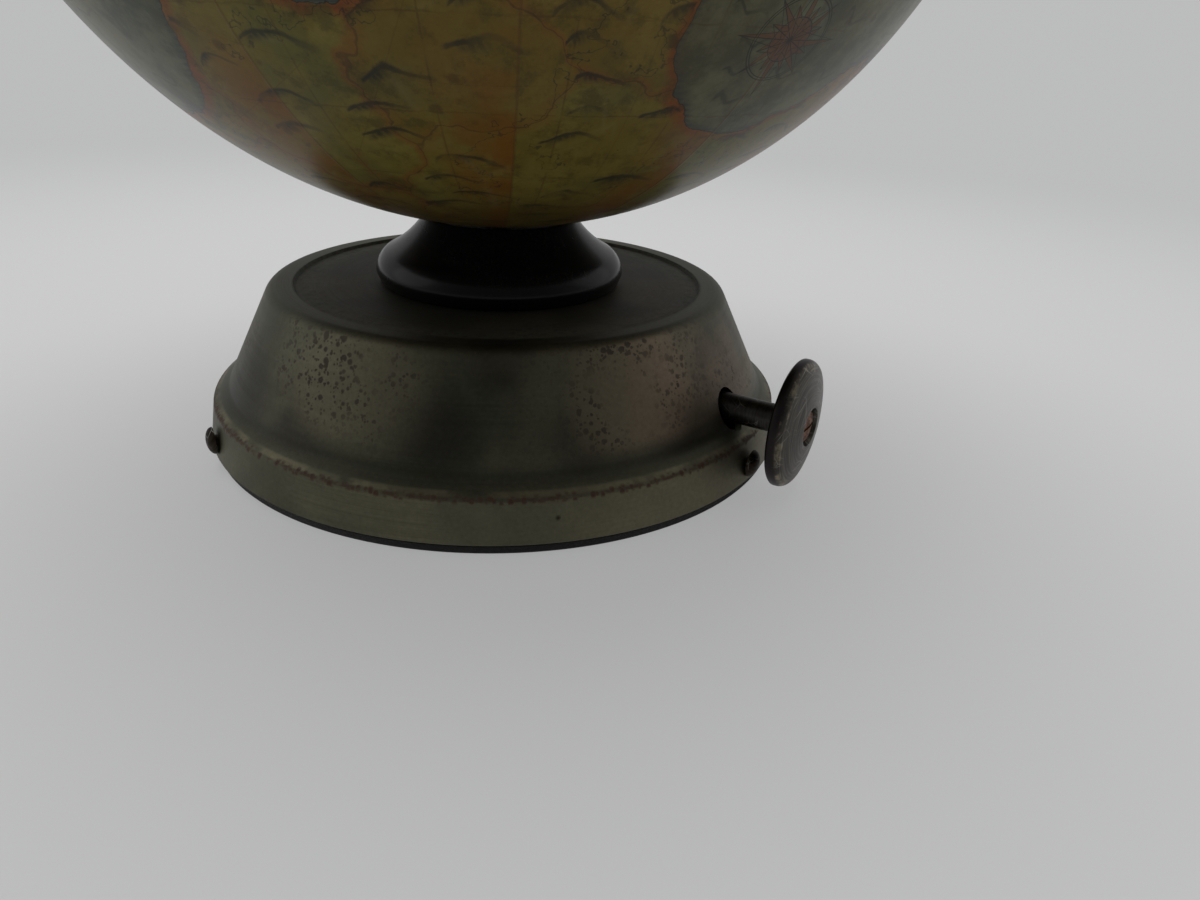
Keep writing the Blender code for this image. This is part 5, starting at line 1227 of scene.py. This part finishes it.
def make_winding_set():
    """Shaft, turned knob and slotted screw."""
    end = KNOB_BACK - SEAT_GAP
    points = [(0, SHAFT_FOOT), (ARBOR_R, SHAFT_FOOT), (ARBOR_R, SHAFT_STEP), (SHAFT_R, SHAFT_STEP)]
    points += [(SHAFT_R, end), (KNOB_BORE_R, end), (KNOB_BORE_R, end - SHAFT_BORE_DEPTH)]
    points.append((0, end - SHAFT_BORE_DEPTH))
    shaft = soften(turn("turned_shaft", points, SMALL_STEPS), FINE_EDGE, 2)
    finish(put(shaft, SHAFT_FRAME), SHAFT_STEEL, "winder", "dark_steel", "winding_shaft")

    rim_r = KNOB_R - KNOB_DRAFT
    side_foot = KNOB_BACK + KNOB_BACK_CHAMFER
    bend = (rim_r - KNOB_EDGE_WIDTH, side_foot + KNOB_SIDE_HEIGHT)
    edge = arc(bend, (KNOB_EDGE_WIDTH, KNOB_EDGE_HEIGHT), 0, KNOB_EDGE_SWEEP, 10)
    edge_r, edge_z = edge[-1]
    dome = []
    for step in range(1, DOME_STEPS + 1):
        radius = edge_r + (KNOB_RECESS_R - edge_r) * step / DOME_STEPS
        share = (edge_r**2 - radius**2) / (edge_r**2 - KNOB_RECESS_R**2)
        dome.append((radius, edge_z + (KNOB_FACE - edge_z) * share))
    floor = KNOB_FACE - KNOB_RECESS_DEPTH
    points = [(KNOB_BORE_R, KNOB_BACK), (rim_r - KNOB_BACK_CHAMFER, KNOB_BACK), (rim_r, side_foot)]
    points += edge + dome + [(KNOB_RECESS_R - KNOB_DRAFT, floor), (KNOB_BORE_R, floor)]
    knob = soften(turn("turned_knob", points, LARGE_STEPS), KNOB_SHARP_EDGE, 2)
    finish(put(knob, SHAFT_FRAME), KNOB_STEEL, "winder", "dark_steel", "winding_knob")

    seat = floor + SEAT_GAP
    top = seat + SCREW_HEAD_HEIGHT
    head = arc((0, seat + SOFT_EDGE), (SCREW_HEAD_R, SCREW_HEAD_HEIGHT - SOFT_EDGE), 0, QUARTER, 7)[:-1]
    points = [(0, seat - SCREW_LENGTH), (SCREW_R, seat - SCREW_LENGTH), (SCREW_R, seat), (SCREW_HEAD_R, seat)]
    screw = turn("slotted_screw", points + head + [(0, top)], SMALL_STEPS)
    slot = begin("slot", "cube", size=1)
    size = Matrix.Diagonal((SCREW_HEAD_R * 3, SLOT_WIDTH, SLOT_DEPTH * 2, 1))
    put(slot, Matrix.Translation((0, 0, top)) @ size)
    carve(screw, slot)
    finish(put(screw, SHAFT_FRAME), COPPER, "winder", "copper", "knob_screw")


# Globe


def globe_arc(radius, start_height, end_radius, direction, steps):
    """A meridian of the globe from near the parting to a radius near the pole."""
    start = math.asin(start_height / radius)
    end = math.acos(end_radius / radius)
    return arc((0, GLOBE_Z), (radius, radius * direction), start, end, steps)


def line_inside(piece):
    """Gives the faces of a shell's inner wall the lining."""
    piece.data.materials.clear()
    piece.data.materials.append(MAP)
    piece.data.materials.append(LINING)
    middle = GLOBE_R - GLOBE_WALL / 2
    for face in piece.data.polygons:
        height = face.center.z - GLOBE_Z
        face.material_index = int(math.hypot(face.center.x, face.center.y, height) < middle)


def make_shells():
    """Both halves, each with its wall; the lower is open at the pole for the pivot."""
    lower = globe_arc(GLOBE_R, SHELL_EDGE, PIVOT_HOLE_R, -1, SHELL_STEPS)
    inner = globe_arc(GLOBE_R - GLOBE_WALL, SHELL_EDGE, PIVOT_HOLE_R, -1, SHELL_STEPS)
    shell = turn("lower_half", lower + inner[::-1], LARGE_STEPS)
    finish(shell, MAP, "globe", "map_print", "lower_shell")
    line_inside(shell)
    upper = globe_arc(GLOBE_R, SHELL_EDGE, 0, 1, SHELL_STEPS)
    inner = globe_arc(GLOBE_R - GLOBE_WALL, SHELL_EDGE, 0, 1, SHELL_STEPS)
    top = GLOBE_Z + GLOBE_R
    points = [(0, top)] + upper[-2::-1] + inner[:-1] + [(0, top - GLOBE_WALL)]
    shell = turn("upper_half", points, LARGE_STEPS)
    finish(shell, MAP, "lid", "map_print", "upper_shell")
    line_inside(shell)


def make_rims():
    """Rolled rings on both halves, the lower with its lip and ledge."""
    z = GLOBE_Z
    lower = [
        (LIP_OUTER_R, z + LEDGE_FOOT), (LIP_OUTER_R, z - RIM_TOP), (GLOBE_R, z - RIM_TOP),
        (GLOBE_R, z - RIM_PARTING), (LIP_OUTER_R, z - RIM_PARTING), (LIP_OUTER_R, z + LIP_HEIGHT),
        (LIP_INNER_R, z + LIP_HEIGHT), (LIP_INNER_R, z + LEDGE_TOP), (LEDGE_R, z + LEDGE_TOP),
        (LEDGE_R, z + LEDGE_FOOT),
    ]
    rim = soften(turn("rolled_rim_lower", lower, LARGE_STEPS), SOFT_EDGE, 3)
    finish(rim, GILT, "globe", "rim_gold", "lower_rim")
    upper = [
        (UPSTAND_INNER_R, z + RIM_PARTING), (GLOBE_R, z + RIM_PARTING), (GLOBE_R, z + RIM_TOP),
        (UPSTAND_OUTER_R, z + RIM_TOP), (UPSTAND_OUTER_R, z + UPSTAND_HEIGHT),
        (UPSTAND_INNER_R, z + UPSTAND_HEIGHT),
    ]
    rim = soften(turn("rolled_rim_upper", upper, LARGE_STEPS), THIN_EDGE, 3)
    finish(rim, GILT, "lid", "rim_gold", "upper_rim")


# Tray, decanter and glasses


def well_plug(radius, foot, top, spot):
    """A plug the size of one well, to join to the tray or to cut from it."""
    plug = begin("well_plug", "cylinder", vertices=MEDIUM_STEPS, radius=radius, depth=top - foot)
    return put(plug, Matrix.Translation((*spot, GLOBE_Z + (top + foot) / 2)))


def glass_spots():
    turns = [(index + 0.5) * FULL_TURN / GLASS_COUNT for index in range(GLASS_COUNT)]
    return [(GLASS_PITCH_R * math.cos(turn_to), GLASS_PITCH_R * math.sin(turn_to)) for turn_to in turns]


def make_tray():
    """Flocked tray with a deep well and four shallow ones, each hung by its flange in a hole of the plate."""
    low, high = GLOBE_Z + TRAY_FOOT, GLOBE_Z + TRAY_TOP
    tray = turn("flocked_tray", [(0, low), (TRAY_R, low), (TRAY_R, high), (0, high)], LARGE_STEPS)
    wells = [(DECANTER_WELL_R, DECANTER_WELL_DEPTH, (0, 0))]
    wells += [(GLASS_WELL_R, GLASS_WELL_DEPTH, spot) for spot in glass_spots()]
    for radius, depth, spot in wells:
        hole_r = radius + WELL_WALL + SEAT_GAP
        carve(tray, well_plug(hole_r, TRAY_FOOT - WELL_WALL, TRAY_TOP + WELL_WALL, spot))
    finish(soften(tray, SOFT_EDGE, 2), FLOCK, "globe", "tray_flock", "tray")
    names = ["decanter_well"] + [f"glass_well_{index + 1}" for index in range(GLASS_COUNT)]
    for name, (radius, depth, spot) in zip(names, wells):
        seat = TRAY_TOP + SEAT_GAP
        mouth = seat + WELL_FLANGE_THICKNESS
        wall_r = radius + WELL_WALL
        flange_r = wall_r + WELL_FLANGE_WIDTH
        foot = TRAY_TOP - depth
        points = [(0, foot - WELL_WALL), (wall_r, foot - WELL_WALL), (wall_r, seat), (flange_r, seat)]
        points += [(flange_r, mouth), (radius, mouth), (radius, foot), (0, foot)]
        points = softened(points, 6, WELL_WALL, 6)
        points = softened(points, 5, WELL_FLANGE_THICKNESS, 4)
        points = softened(points, 4, WELL_FLANGE_THICKNESS * 0.5, 4)
        points = softened(points, 1, WELL_WALL, 6)
        cup = put(turn(f"flocked_{name}", points, MEDIUM_STEPS), Matrix.Translation((*spot, GLOBE_Z)))
        finish(cup, FLOCK, "globe", "tray_flock", name)


def make_decanter():
    """Round decanter: thick foot, straight body, round shoulder and a lipped neck, with its ball stopper."""
    foot = Matrix.Translation((0, 0, GLOBE_Z + TRAY_TOP - DECANTER_WELL_DEPTH + SEAT_GAP))
    shoulder = DECANTER_R - NECK_R
    body = DECANTER_BODY_HEIGHT
    edge = DECANTER_EDGE
    punt = [(0, DECANTER_PUNT), (DECANTER_R / 2, DECANTER_PUNT * 0.75), (DECANTER_R - 2 * edge, edge / 30)]
    outside = punt + arc((DECANTER_R - edge, edge), (edge, edge), -QUARTER, 0, 8)
    outside += arc((NECK_R, body), (shoulder, DECANTER_SHOULDER_HEIGHT), 0, QUARTER, 20)
    lip_middle = (LIP_FOOT + MOUTH) / 2
    lip_bow = (MOUTH - LIP_FOOT) / 2
    outside += [(NECK_R, LIP_FOOT - LIP_BLEND), (NECK_R + MOUTH_EDGE, LIP_FOOT - LIP_BLEND / 8)]
    outside += arc((LIP_R - lip_bow, lip_middle), (lip_bow, lip_bow), -QUARTER, QUARTER, 10)
    bore, inner = NECK_R - DECANTER_WALL, DECANTER_R - DECANTER_WALL
    height = DECANTER_SHOULDER_HEIGHT - DECANTER_WALL
    inside = [(bore + MOUTH_EDGE, MOUTH), (bore, MOUTH - MOUTH_EDGE)]
    inside += arc((bore, body), (inner - bore, height), 0, QUARTER, 20)[::-1]
    edge = DECANTER_INNER_EDGE
    inside += arc((inner - edge, DECANTER_FLOOR + edge), (edge, edge), 0, -QUARTER, 8)
    decanter = turn("clear_decanter", outside + inside + [(0, DECANTER_FLOOR)], MEDIUM_STEPS)
    finish(put(decanter, foot), CLEAR_GLASS, "decanter", "clear_glass", "decanter")

    seat = MOUTH + SEAT_GAP
    flange = seat + STOPPER_FLANGE_HEIGHT
    middle = flange + STOPPER_BALL_R * math.cos(math.pi / 6)
    plug_end = seat - PLUG_LENGTH
    plug_end_r = PLUG_R - PLUG_TAPER
    plug = [(0, plug_end), (plug_end_r - PLUG_EDGE, plug_end)]
    plug += [(plug_end_r, plug_end + PLUG_EDGE), (PLUG_R, seat)]
    half = STOPPER_FLANGE_HEIGHT / 2
    edge = arc((STOPPER_FLANGE_R - half, seat + half), (half, half), -QUARTER, QUARTER, 8)
    neck_r = STOPPER_BALL_R / 2
    neck = [(neck_r + SOFT_EDGE, flange), (neck_r, flange + SOFT_EDGE)]
    ball = arc((0, middle), (STOPPER_BALL_R, STOPPER_BALL_R), -BALL_NECK_ANGLE, QUARTER, 24)[:-1]
    stopper = turn("ball_stopper", plug + edge + neck + ball + [(0, middle + STOPPER_BALL_R)], MEDIUM_STEPS)
    finish(put(stopper, foot), STOPPER_GLASS, "stopper", "clear_glass", "stopper")


def make_glasses():
    """Four tapered tumblers with a thick foot and a fire-rounded lip, modelled once and copied."""
    def wall_r(height):
        return GLASS_FOOT_R + (GLASS_TOP_R - GLASS_FOOT_R) * height / GLASS_HEIGHT

    lip = GLASS_WALL / 2
    edge = GLASS_EDGE
    points = [(0, GLASS_PUNT), (GLASS_FOOT_R * 0.6, GLASS_PUNT * 0.75), (GLASS_FOOT_R - GLASS_RIM_WIDTH, 0)]
    points += arc((GLASS_FOOT_R - edge, edge), (edge, edge), -QUARTER, 0, 6)
    points += arc((GLASS_TOP_R - lip, GLASS_HEIGHT - lip), (lip, lip), 0, math.pi, 8)
    inner = wall_r(GLASS_FLOOR) - GLASS_WALL
    edge = GLASS_INNER_EDGE
    points += arc((inner - edge, GLASS_FLOOR + edge), (edge, edge), 0, -QUARTER, 8)
    model = turn("tumbler_1", points + [(0, GLASS_FLOOR)], MEDIUM_STEPS)
    foot = GLOBE_Z + TRAY_TOP - GLASS_WELL_DEPTH + SEAT_GAP
    glasses = [model]
    for index in range(1, GLASS_COUNT):
        twin = model.copy()
        twin.data = model.data.copy()
        twin.name = twin.data.name = f"tumbler_{index + 1}"
        bpy.context.scene.collection.objects.link(twin)
        glasses.append(twin)
    for index, (glass_piece, spot) in enumerate(zip(glasses, glass_spots()), 1):
        put(glass_piece, Matrix.Translation((*spot, foot)))
        finish(glass_piece, CLEAR_GLASS, f"glass_{index}", "clear_glass", f"glass_{index}")


# Hinge


def along_hinge(name, radius, low, high):
    """A rod along X on the hinge's axis."""
    rod = begin(name, "cylinder", vertices=TINY_STEPS, radius=radius, depth=high - low)
    place = Matrix.Translation(((low + high) / 2, HINGE_Y, GLOBE_Z))
    return put(rod, place @ Matrix.Rotation(QUARTER, 4, "Y"))


def make_leaf(half, body, direction, own, others):
    """A leaf bent to the globe with its knuckles, notched for the other leaf's and bored for the pin."""
    ends = sorted((direction * RIM_PARTING, direction * LEAF_HEIGHT))
    points = [(LEAF_INNER_R, ends[0]), (LEAF_OUTER_R, ends[0])]
    points += [(LEAF_OUTER_R, ends[1]), (LEAF_INNER_R, ends[1])]
    leaf = turn(f"bent_leaf_{half}", points, LEAF_STEPS, 2 * LEAF_HALF_ANGLE)
    bpy.ops.object.mode_set(mode="EDIT")
    bpy.ops.mesh.select_all(action="SELECT")
    bpy.ops.mesh.fill_holes(sides=0)
    bpy.ops.mesh.select_all(action="SELECT")
    bpy.ops.mesh.normals_make_consistent(inside=False)
    bpy.ops.object.mode_set(mode="OBJECT")
    middle = sum((vertex.co for vertex in leaf.data.vertices), Vector()) / len(leaf.data.vertices)
    facing = math.atan2(middle.y, middle.x)
    put(leaf, Matrix.Translation((0, 0, GLOBE_Z)) @ Matrix.Rotation(QUARTER - facing, 4, "Z"))
    soften(leaf, THIN_EDGE, 2)
    for low, high in others:
        notch = begin("notch", "cube", size=1)
        size = Matrix.Diagonal((high - low + 2 * SEAT_GAP, CUTTER_SIZE, 2 * KNUCKLE_RELIEF, 1))
        put(notch, Matrix.Translation(((low + high) / 2, LEAF_OUTER_R, GLOBE_Z)) @ size)
        carve(leaf, notch)
    for low, high in own:
        carve(leaf, along_hinge("knuckle", KNUCKLE_R, low, high), "UNION")
    carve(leaf, along_hinge("pin_bore", HINGE_PIN_R + HINGE_PIN_CLEARANCE, -KNUCKLE_ROW, KNUCKLE_ROW))
    finish(leaf, BRASS, body, "brass", f"hinge_leaf_{half}")


def make_hinge():
    """Both leaves, the domed pin and the four rivets."""
    centre, outer = CENTRE_KNUCKLE / 2, KNUCKLE_ROW / 2
    inner = centre + SEAT_GAP
    pair = [(-outer, -inner), (inner, outer)]
    make_leaf("lower", "globe", -1, pair, [(-centre, centre)])
    make_leaf("upper", "lid", 1, [(-centre, centre)], pair)

    end = outer + SEAT_GAP
    cap = arc((0, end), (HINGE_PIN_HEAD_R, HINGE_PIN_HEAD_HEIGHT), 0, QUARTER, 6)[:-1]
    half = [(HINGE_PIN_R, end)] + cap + [(0, end + HINGE_PIN_HEAD_HEIGHT)]
    pin = turn("hinge_rod", [(radius, -along) for radius, along in half[::-1]] + half, TINY_STEPS)
    place = Matrix.Translation((0, HINGE_Y, GLOBE_Z)) @ Matrix.Rotation(QUARTER, 4, "Y")
    finish(put(pin, place), BRIGHT_STEEL, "globe", "bright_steel", "hinge_pin")

    head = arc((0, RIVET_HEAD_FOOT), (RIVET_HEAD_R, RIVET_HEAD_HEIGHT), 0, QUARTER, 6)[:-1]
    tail = [(0, RIVET_TAIL_FOOT), (RIVET_TAIL_R - SOFT_EDGE, RIVET_TAIL_FOOT)]
    tail += [(RIVET_TAIL_R, RIVET_TAIL_FOOT + SOFT_EDGE), (RIVET_TAIL_R, RIVET_TAIL_TOP)]
    points = tail + [(RIVET_R, RIVET_TAIL_TOP), (RIVET_R, RIVET_HEAD_FOOT)] + head
    points += [(0, RIVET_HEAD_FOOT + RIVET_HEAD_HEIGHT)]
    for body, half_name, direction in (("globe", "lower", -1), ("lid", "upper", 1)):
        for index, side in enumerate((-1, 1), 1):
            rivet = turn(f"domed_rivet_{half_name}_{index}", points, TINY_STEPS)
            spot = Matrix.Translation((side * RIVET_SPREAD, 0, GLOBE_Z + direction * RIVET_HEIGHT))
            put(rivet, spot @ Matrix.Rotation(-QUARTER, 4, "X"))
            finish(rivet, BRASS, body, "brass", f"hinge_rivet_{half_name}_{index}")


def make_lid_knob():
    """Turned ball knob with a flared foot and the slotted screw that holds it from inside."""
    front = Matrix.Translation((0, 0, GLOBE_Z + LID_KNOB_HEIGHT)) @ Matrix.Rotation(QUARTER, 4, "X")
    middle = LID_KNOB_END - LID_KNOB_R
    bore = LID_SCREW_R + SEAT_GAP
    ball = arc((0, middle), (LID_KNOB_R, LID_KNOB_R), -math.pi / 4, QUARTER, 20)[:-1]
    foot = [(0, LID_SCREW_END + SEAT_GAP), (bore, LID_SCREW_END + SEAT_GAP), (bore, LID_KNOB_FACE)]
    foot += [(LID_KNOB_BASE_R - THIN_EDGE, LID_KNOB_FACE), (LID_KNOB_BASE_R, LID_KNOB_FACE + THIN_EDGE)]
    waist_z = (LID_KNOB_FACE + ball[0][1]) / 2
    foot += [(LID_KNOB_BASE_R - THIN_EDGE / 3, LID_KNOB_FACE + 2 * THIN_EDGE)]
    foot += [(LID_KNOB_WAIST_R + SOFT_EDGE, waist_z - SOFT_EDGE * 1.25), (LID_KNOB_WAIST_R, waist_z)]
    knob = turn("ball_knob", foot + ball + [(0, LID_KNOB_END)], SMALL_STEPS)
    finish(put(knob, front), BRASS, "lid", "brass", "lid_knob")

    top = LID_SCREW_SEAT - LID_SCREW_HEAD_HEIGHT
    head_size = (LID_SCREW_HEAD_R, LID_SCREW_HEAD_HEIGHT - THIN_EDGE)
    head = arc((0, LID_SCREW_SEAT - THIN_EDGE), head_size, -QUARTER, 0, 6)[1:]
    points = [(0, top)] + head + [(LID_SCREW_HEAD_R, LID_SCREW_SEAT), (LID_SCREW_R, LID_SCREW_SEAT)]
    screw = turn("lid_screw", points + [(LID_SCREW_R, LID_SCREW_END), (0, LID_SCREW_END)], TINY_STEPS)
    slot = begin("slot", "cube", size=1)
    size = Matrix.Diagonal((CUTTER_SIZE, LID_SLOT_WIDTH, 2 * LID_SLOT_DEPTH, 1))
    put(slot, Matrix.Translation((0, 0, top)) @ size)
    carve(screw, slot)
    finish(put(screw, front), BRIGHT_STEEL, "lid", "bright_steel", "lid_knob_screw")


def dress(material, *names):
    """Gives CAD pieces that stay as they are their finish."""
    for name in names:
        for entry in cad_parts[name].material_slots:
            entry.material = material


make_spun_shell()
make_felt()
make_side_screws()
make_collar()
make_winding_set()
make_shells()
make_rims()
make_tray()
make_decanter()
make_glasses()
make_hinge()
make_lid_knob()
dress(WOOD, "base_board")
dress(BRASS, "spring_barrel", "pin_cylinder", "pole_washer")
dress(BRIGHT_STEEL, "movement_bedplate", "tone_comb", "governor_fly")
dress(BRIGHT_STEEL, "spring_washer", "pivot_bolt", "pivot_nut")
dress(SCREW_STEEL, "movement_screw_1", "movement_screw_2", "movement_screw_3")
dress(SCREW_STEEL, "comb_screw_1", "comb_screw_2", "comb_screw_3")

# Floor, light and camera

BACKDROP = (0.503, 0.506, 0.508, 1)
FLOOR_SEEN = (0.80, 0.80, 0.80, 1)
FLOOR_BOUNCE = (0.50, 0.50, 0.50, 1)
FLOOR_RADIUS = 6.0
FLOOR_GLOW = 0.66
FLOOR_FADE = (0.22, 0.75)
ROOM_SIDES = (0.36, 0.36, 0.36, 1)
ROOM_FRONT = (0.13, 0.13, 0.13, 1)
ROOM_FRONT_WAY = (0.1, -1, 0.1)
LAMP_TARGET = (0, 0, 0.1)
# Lamps as (name, place, size, power)
LAMPS = (
    ("overhead_key", (-0.1, 0.5, 1.9), 1.8, 30),
    ("left_fill", (-1.5, 0.1, 0.7), 1.4, 1.8),
    ("right_fill", (1.5, 0.3, 0.7), 1.4, 1.2),
)


def make_floor():
    """Pale table top that glows more with distance where it is seen, so that it fades into the backdrop."""
    floor = begin("floor", "circle", vertices=MEDIUM_STEPS, radius=FLOOR_RADIUS, fill_type="NGON")
    material, r, shader, place = make_material("pale_floor", Roughness=0.9)
    light = r.outputs(r.add("LightPath"))
    r.fill(shader, Base_Color=r.mix(light["Is Camera Ray"], FLOOR_BOUNCE, FLOOR_SEEN))
    seen = r.most(light["Is Camera Ray"], light["Is Glossy Ray"], light["Is Transmission Ray"])
    far = r.step(r.measure("LENGTH", place), *FLOOR_FADE)
    blend = r.add("MixShader", Fac=(FLOOR_GLOW + far * (1 - FLOOR_GLOW)) * seen)
    nodes = material.node_tree.nodes
    shaders = blend.socket.node.inputs
    r.feed(shaders[1], Wire(r, nodes["Principled BSDF"].outputs[0]))
    r.feed(shaders[2], r.add("Emission", Color=BACKDROP, Strength=1.0))
    r.feed(nodes["Material Output"].inputs["Surface"], blend)
    floor.data.materials.append(material)


def make_world():
    """Plain backdrop for the camera and through glass, with a darker room for all other light."""
    world = bpy.data.worlds.new("studio")
    bpy.context.scene.world = world
    world.use_nodes = True
    r = Recipe(world.node_tree)
    light = r.outputs(r.add("LightPath"))
    seen = r.most(light["Is Camera Ray"], light["Is Transmission Ray"])
    way = r.add("TexCoord", "Generated")
    front = r.step(r.measure("DOT_PRODUCT", way, ROOM_FRONT_WAY), -0.1, 0.9)
    room = r.mix(front, ROOM_SIDES, ROOM_FRONT)
    r.fill(world.node_tree.nodes["Background"].inputs, Color=r.mix(seen, room, BACKDROP), Strength=1.0)


def make_lamp(name, spot, size, power):
    data = bpy.data.lights.new(name, "AREA")
    data.shape = "DISK"
    data.size = size
    data.energy = power
    lamp = bpy.data.objects.new(name, data)
    bpy.context.scene.collection.objects.link(lamp)
    lamp.location = spot
    lamp.rotation_euler = (Vector(LAMP_TARGET) - Vector(spot)).to_track_quat("-Z", "Y").to_euler()


def make_camera():
    """The photograph's camera, aimed by its yaw and pitch and then rolled."""
    data = bpy.data.cameras.new("camera")
    data.sensor_width = SENSOR
    data.lens = LENS
    data.clip_start = CLIP_START
    camera = bpy.data.objects.new("camera", data)
    bpy.context.scene.collection.objects.link(camera)
    ahead = Vector((math.sin(CAMERA_YAW), math.cos(CAMERA_YAW), 0))
    forward = ahead * math.cos(CAMERA_PITCH) - Vector((0, 0, 1)) * math.sin(CAMERA_PITCH)
    level = Vector((math.cos(CAMERA_YAW), -math.sin(CAMERA_YAW), 0))
    above = level.cross(forward)
    side = level * math.cos(CAMERA_ROLL) + above * math.sin(CAMERA_ROLL)
    top = above * math.cos(CAMERA_ROLL) - level * math.sin(CAMERA_ROLL)
    turned = Matrix((side, top, -forward)).transposed().to_4x4()
    camera.matrix_world = Matrix.Translation(CAMERA_AT) @ turned
    bpy.context.scene.camera = camera


make_floor()
make_world()
for lamp_values in LAMPS:
    make_lamp(*lamp_values)
make_camera()
bpy.context.scene.view_settings.view_transform = "Standard"
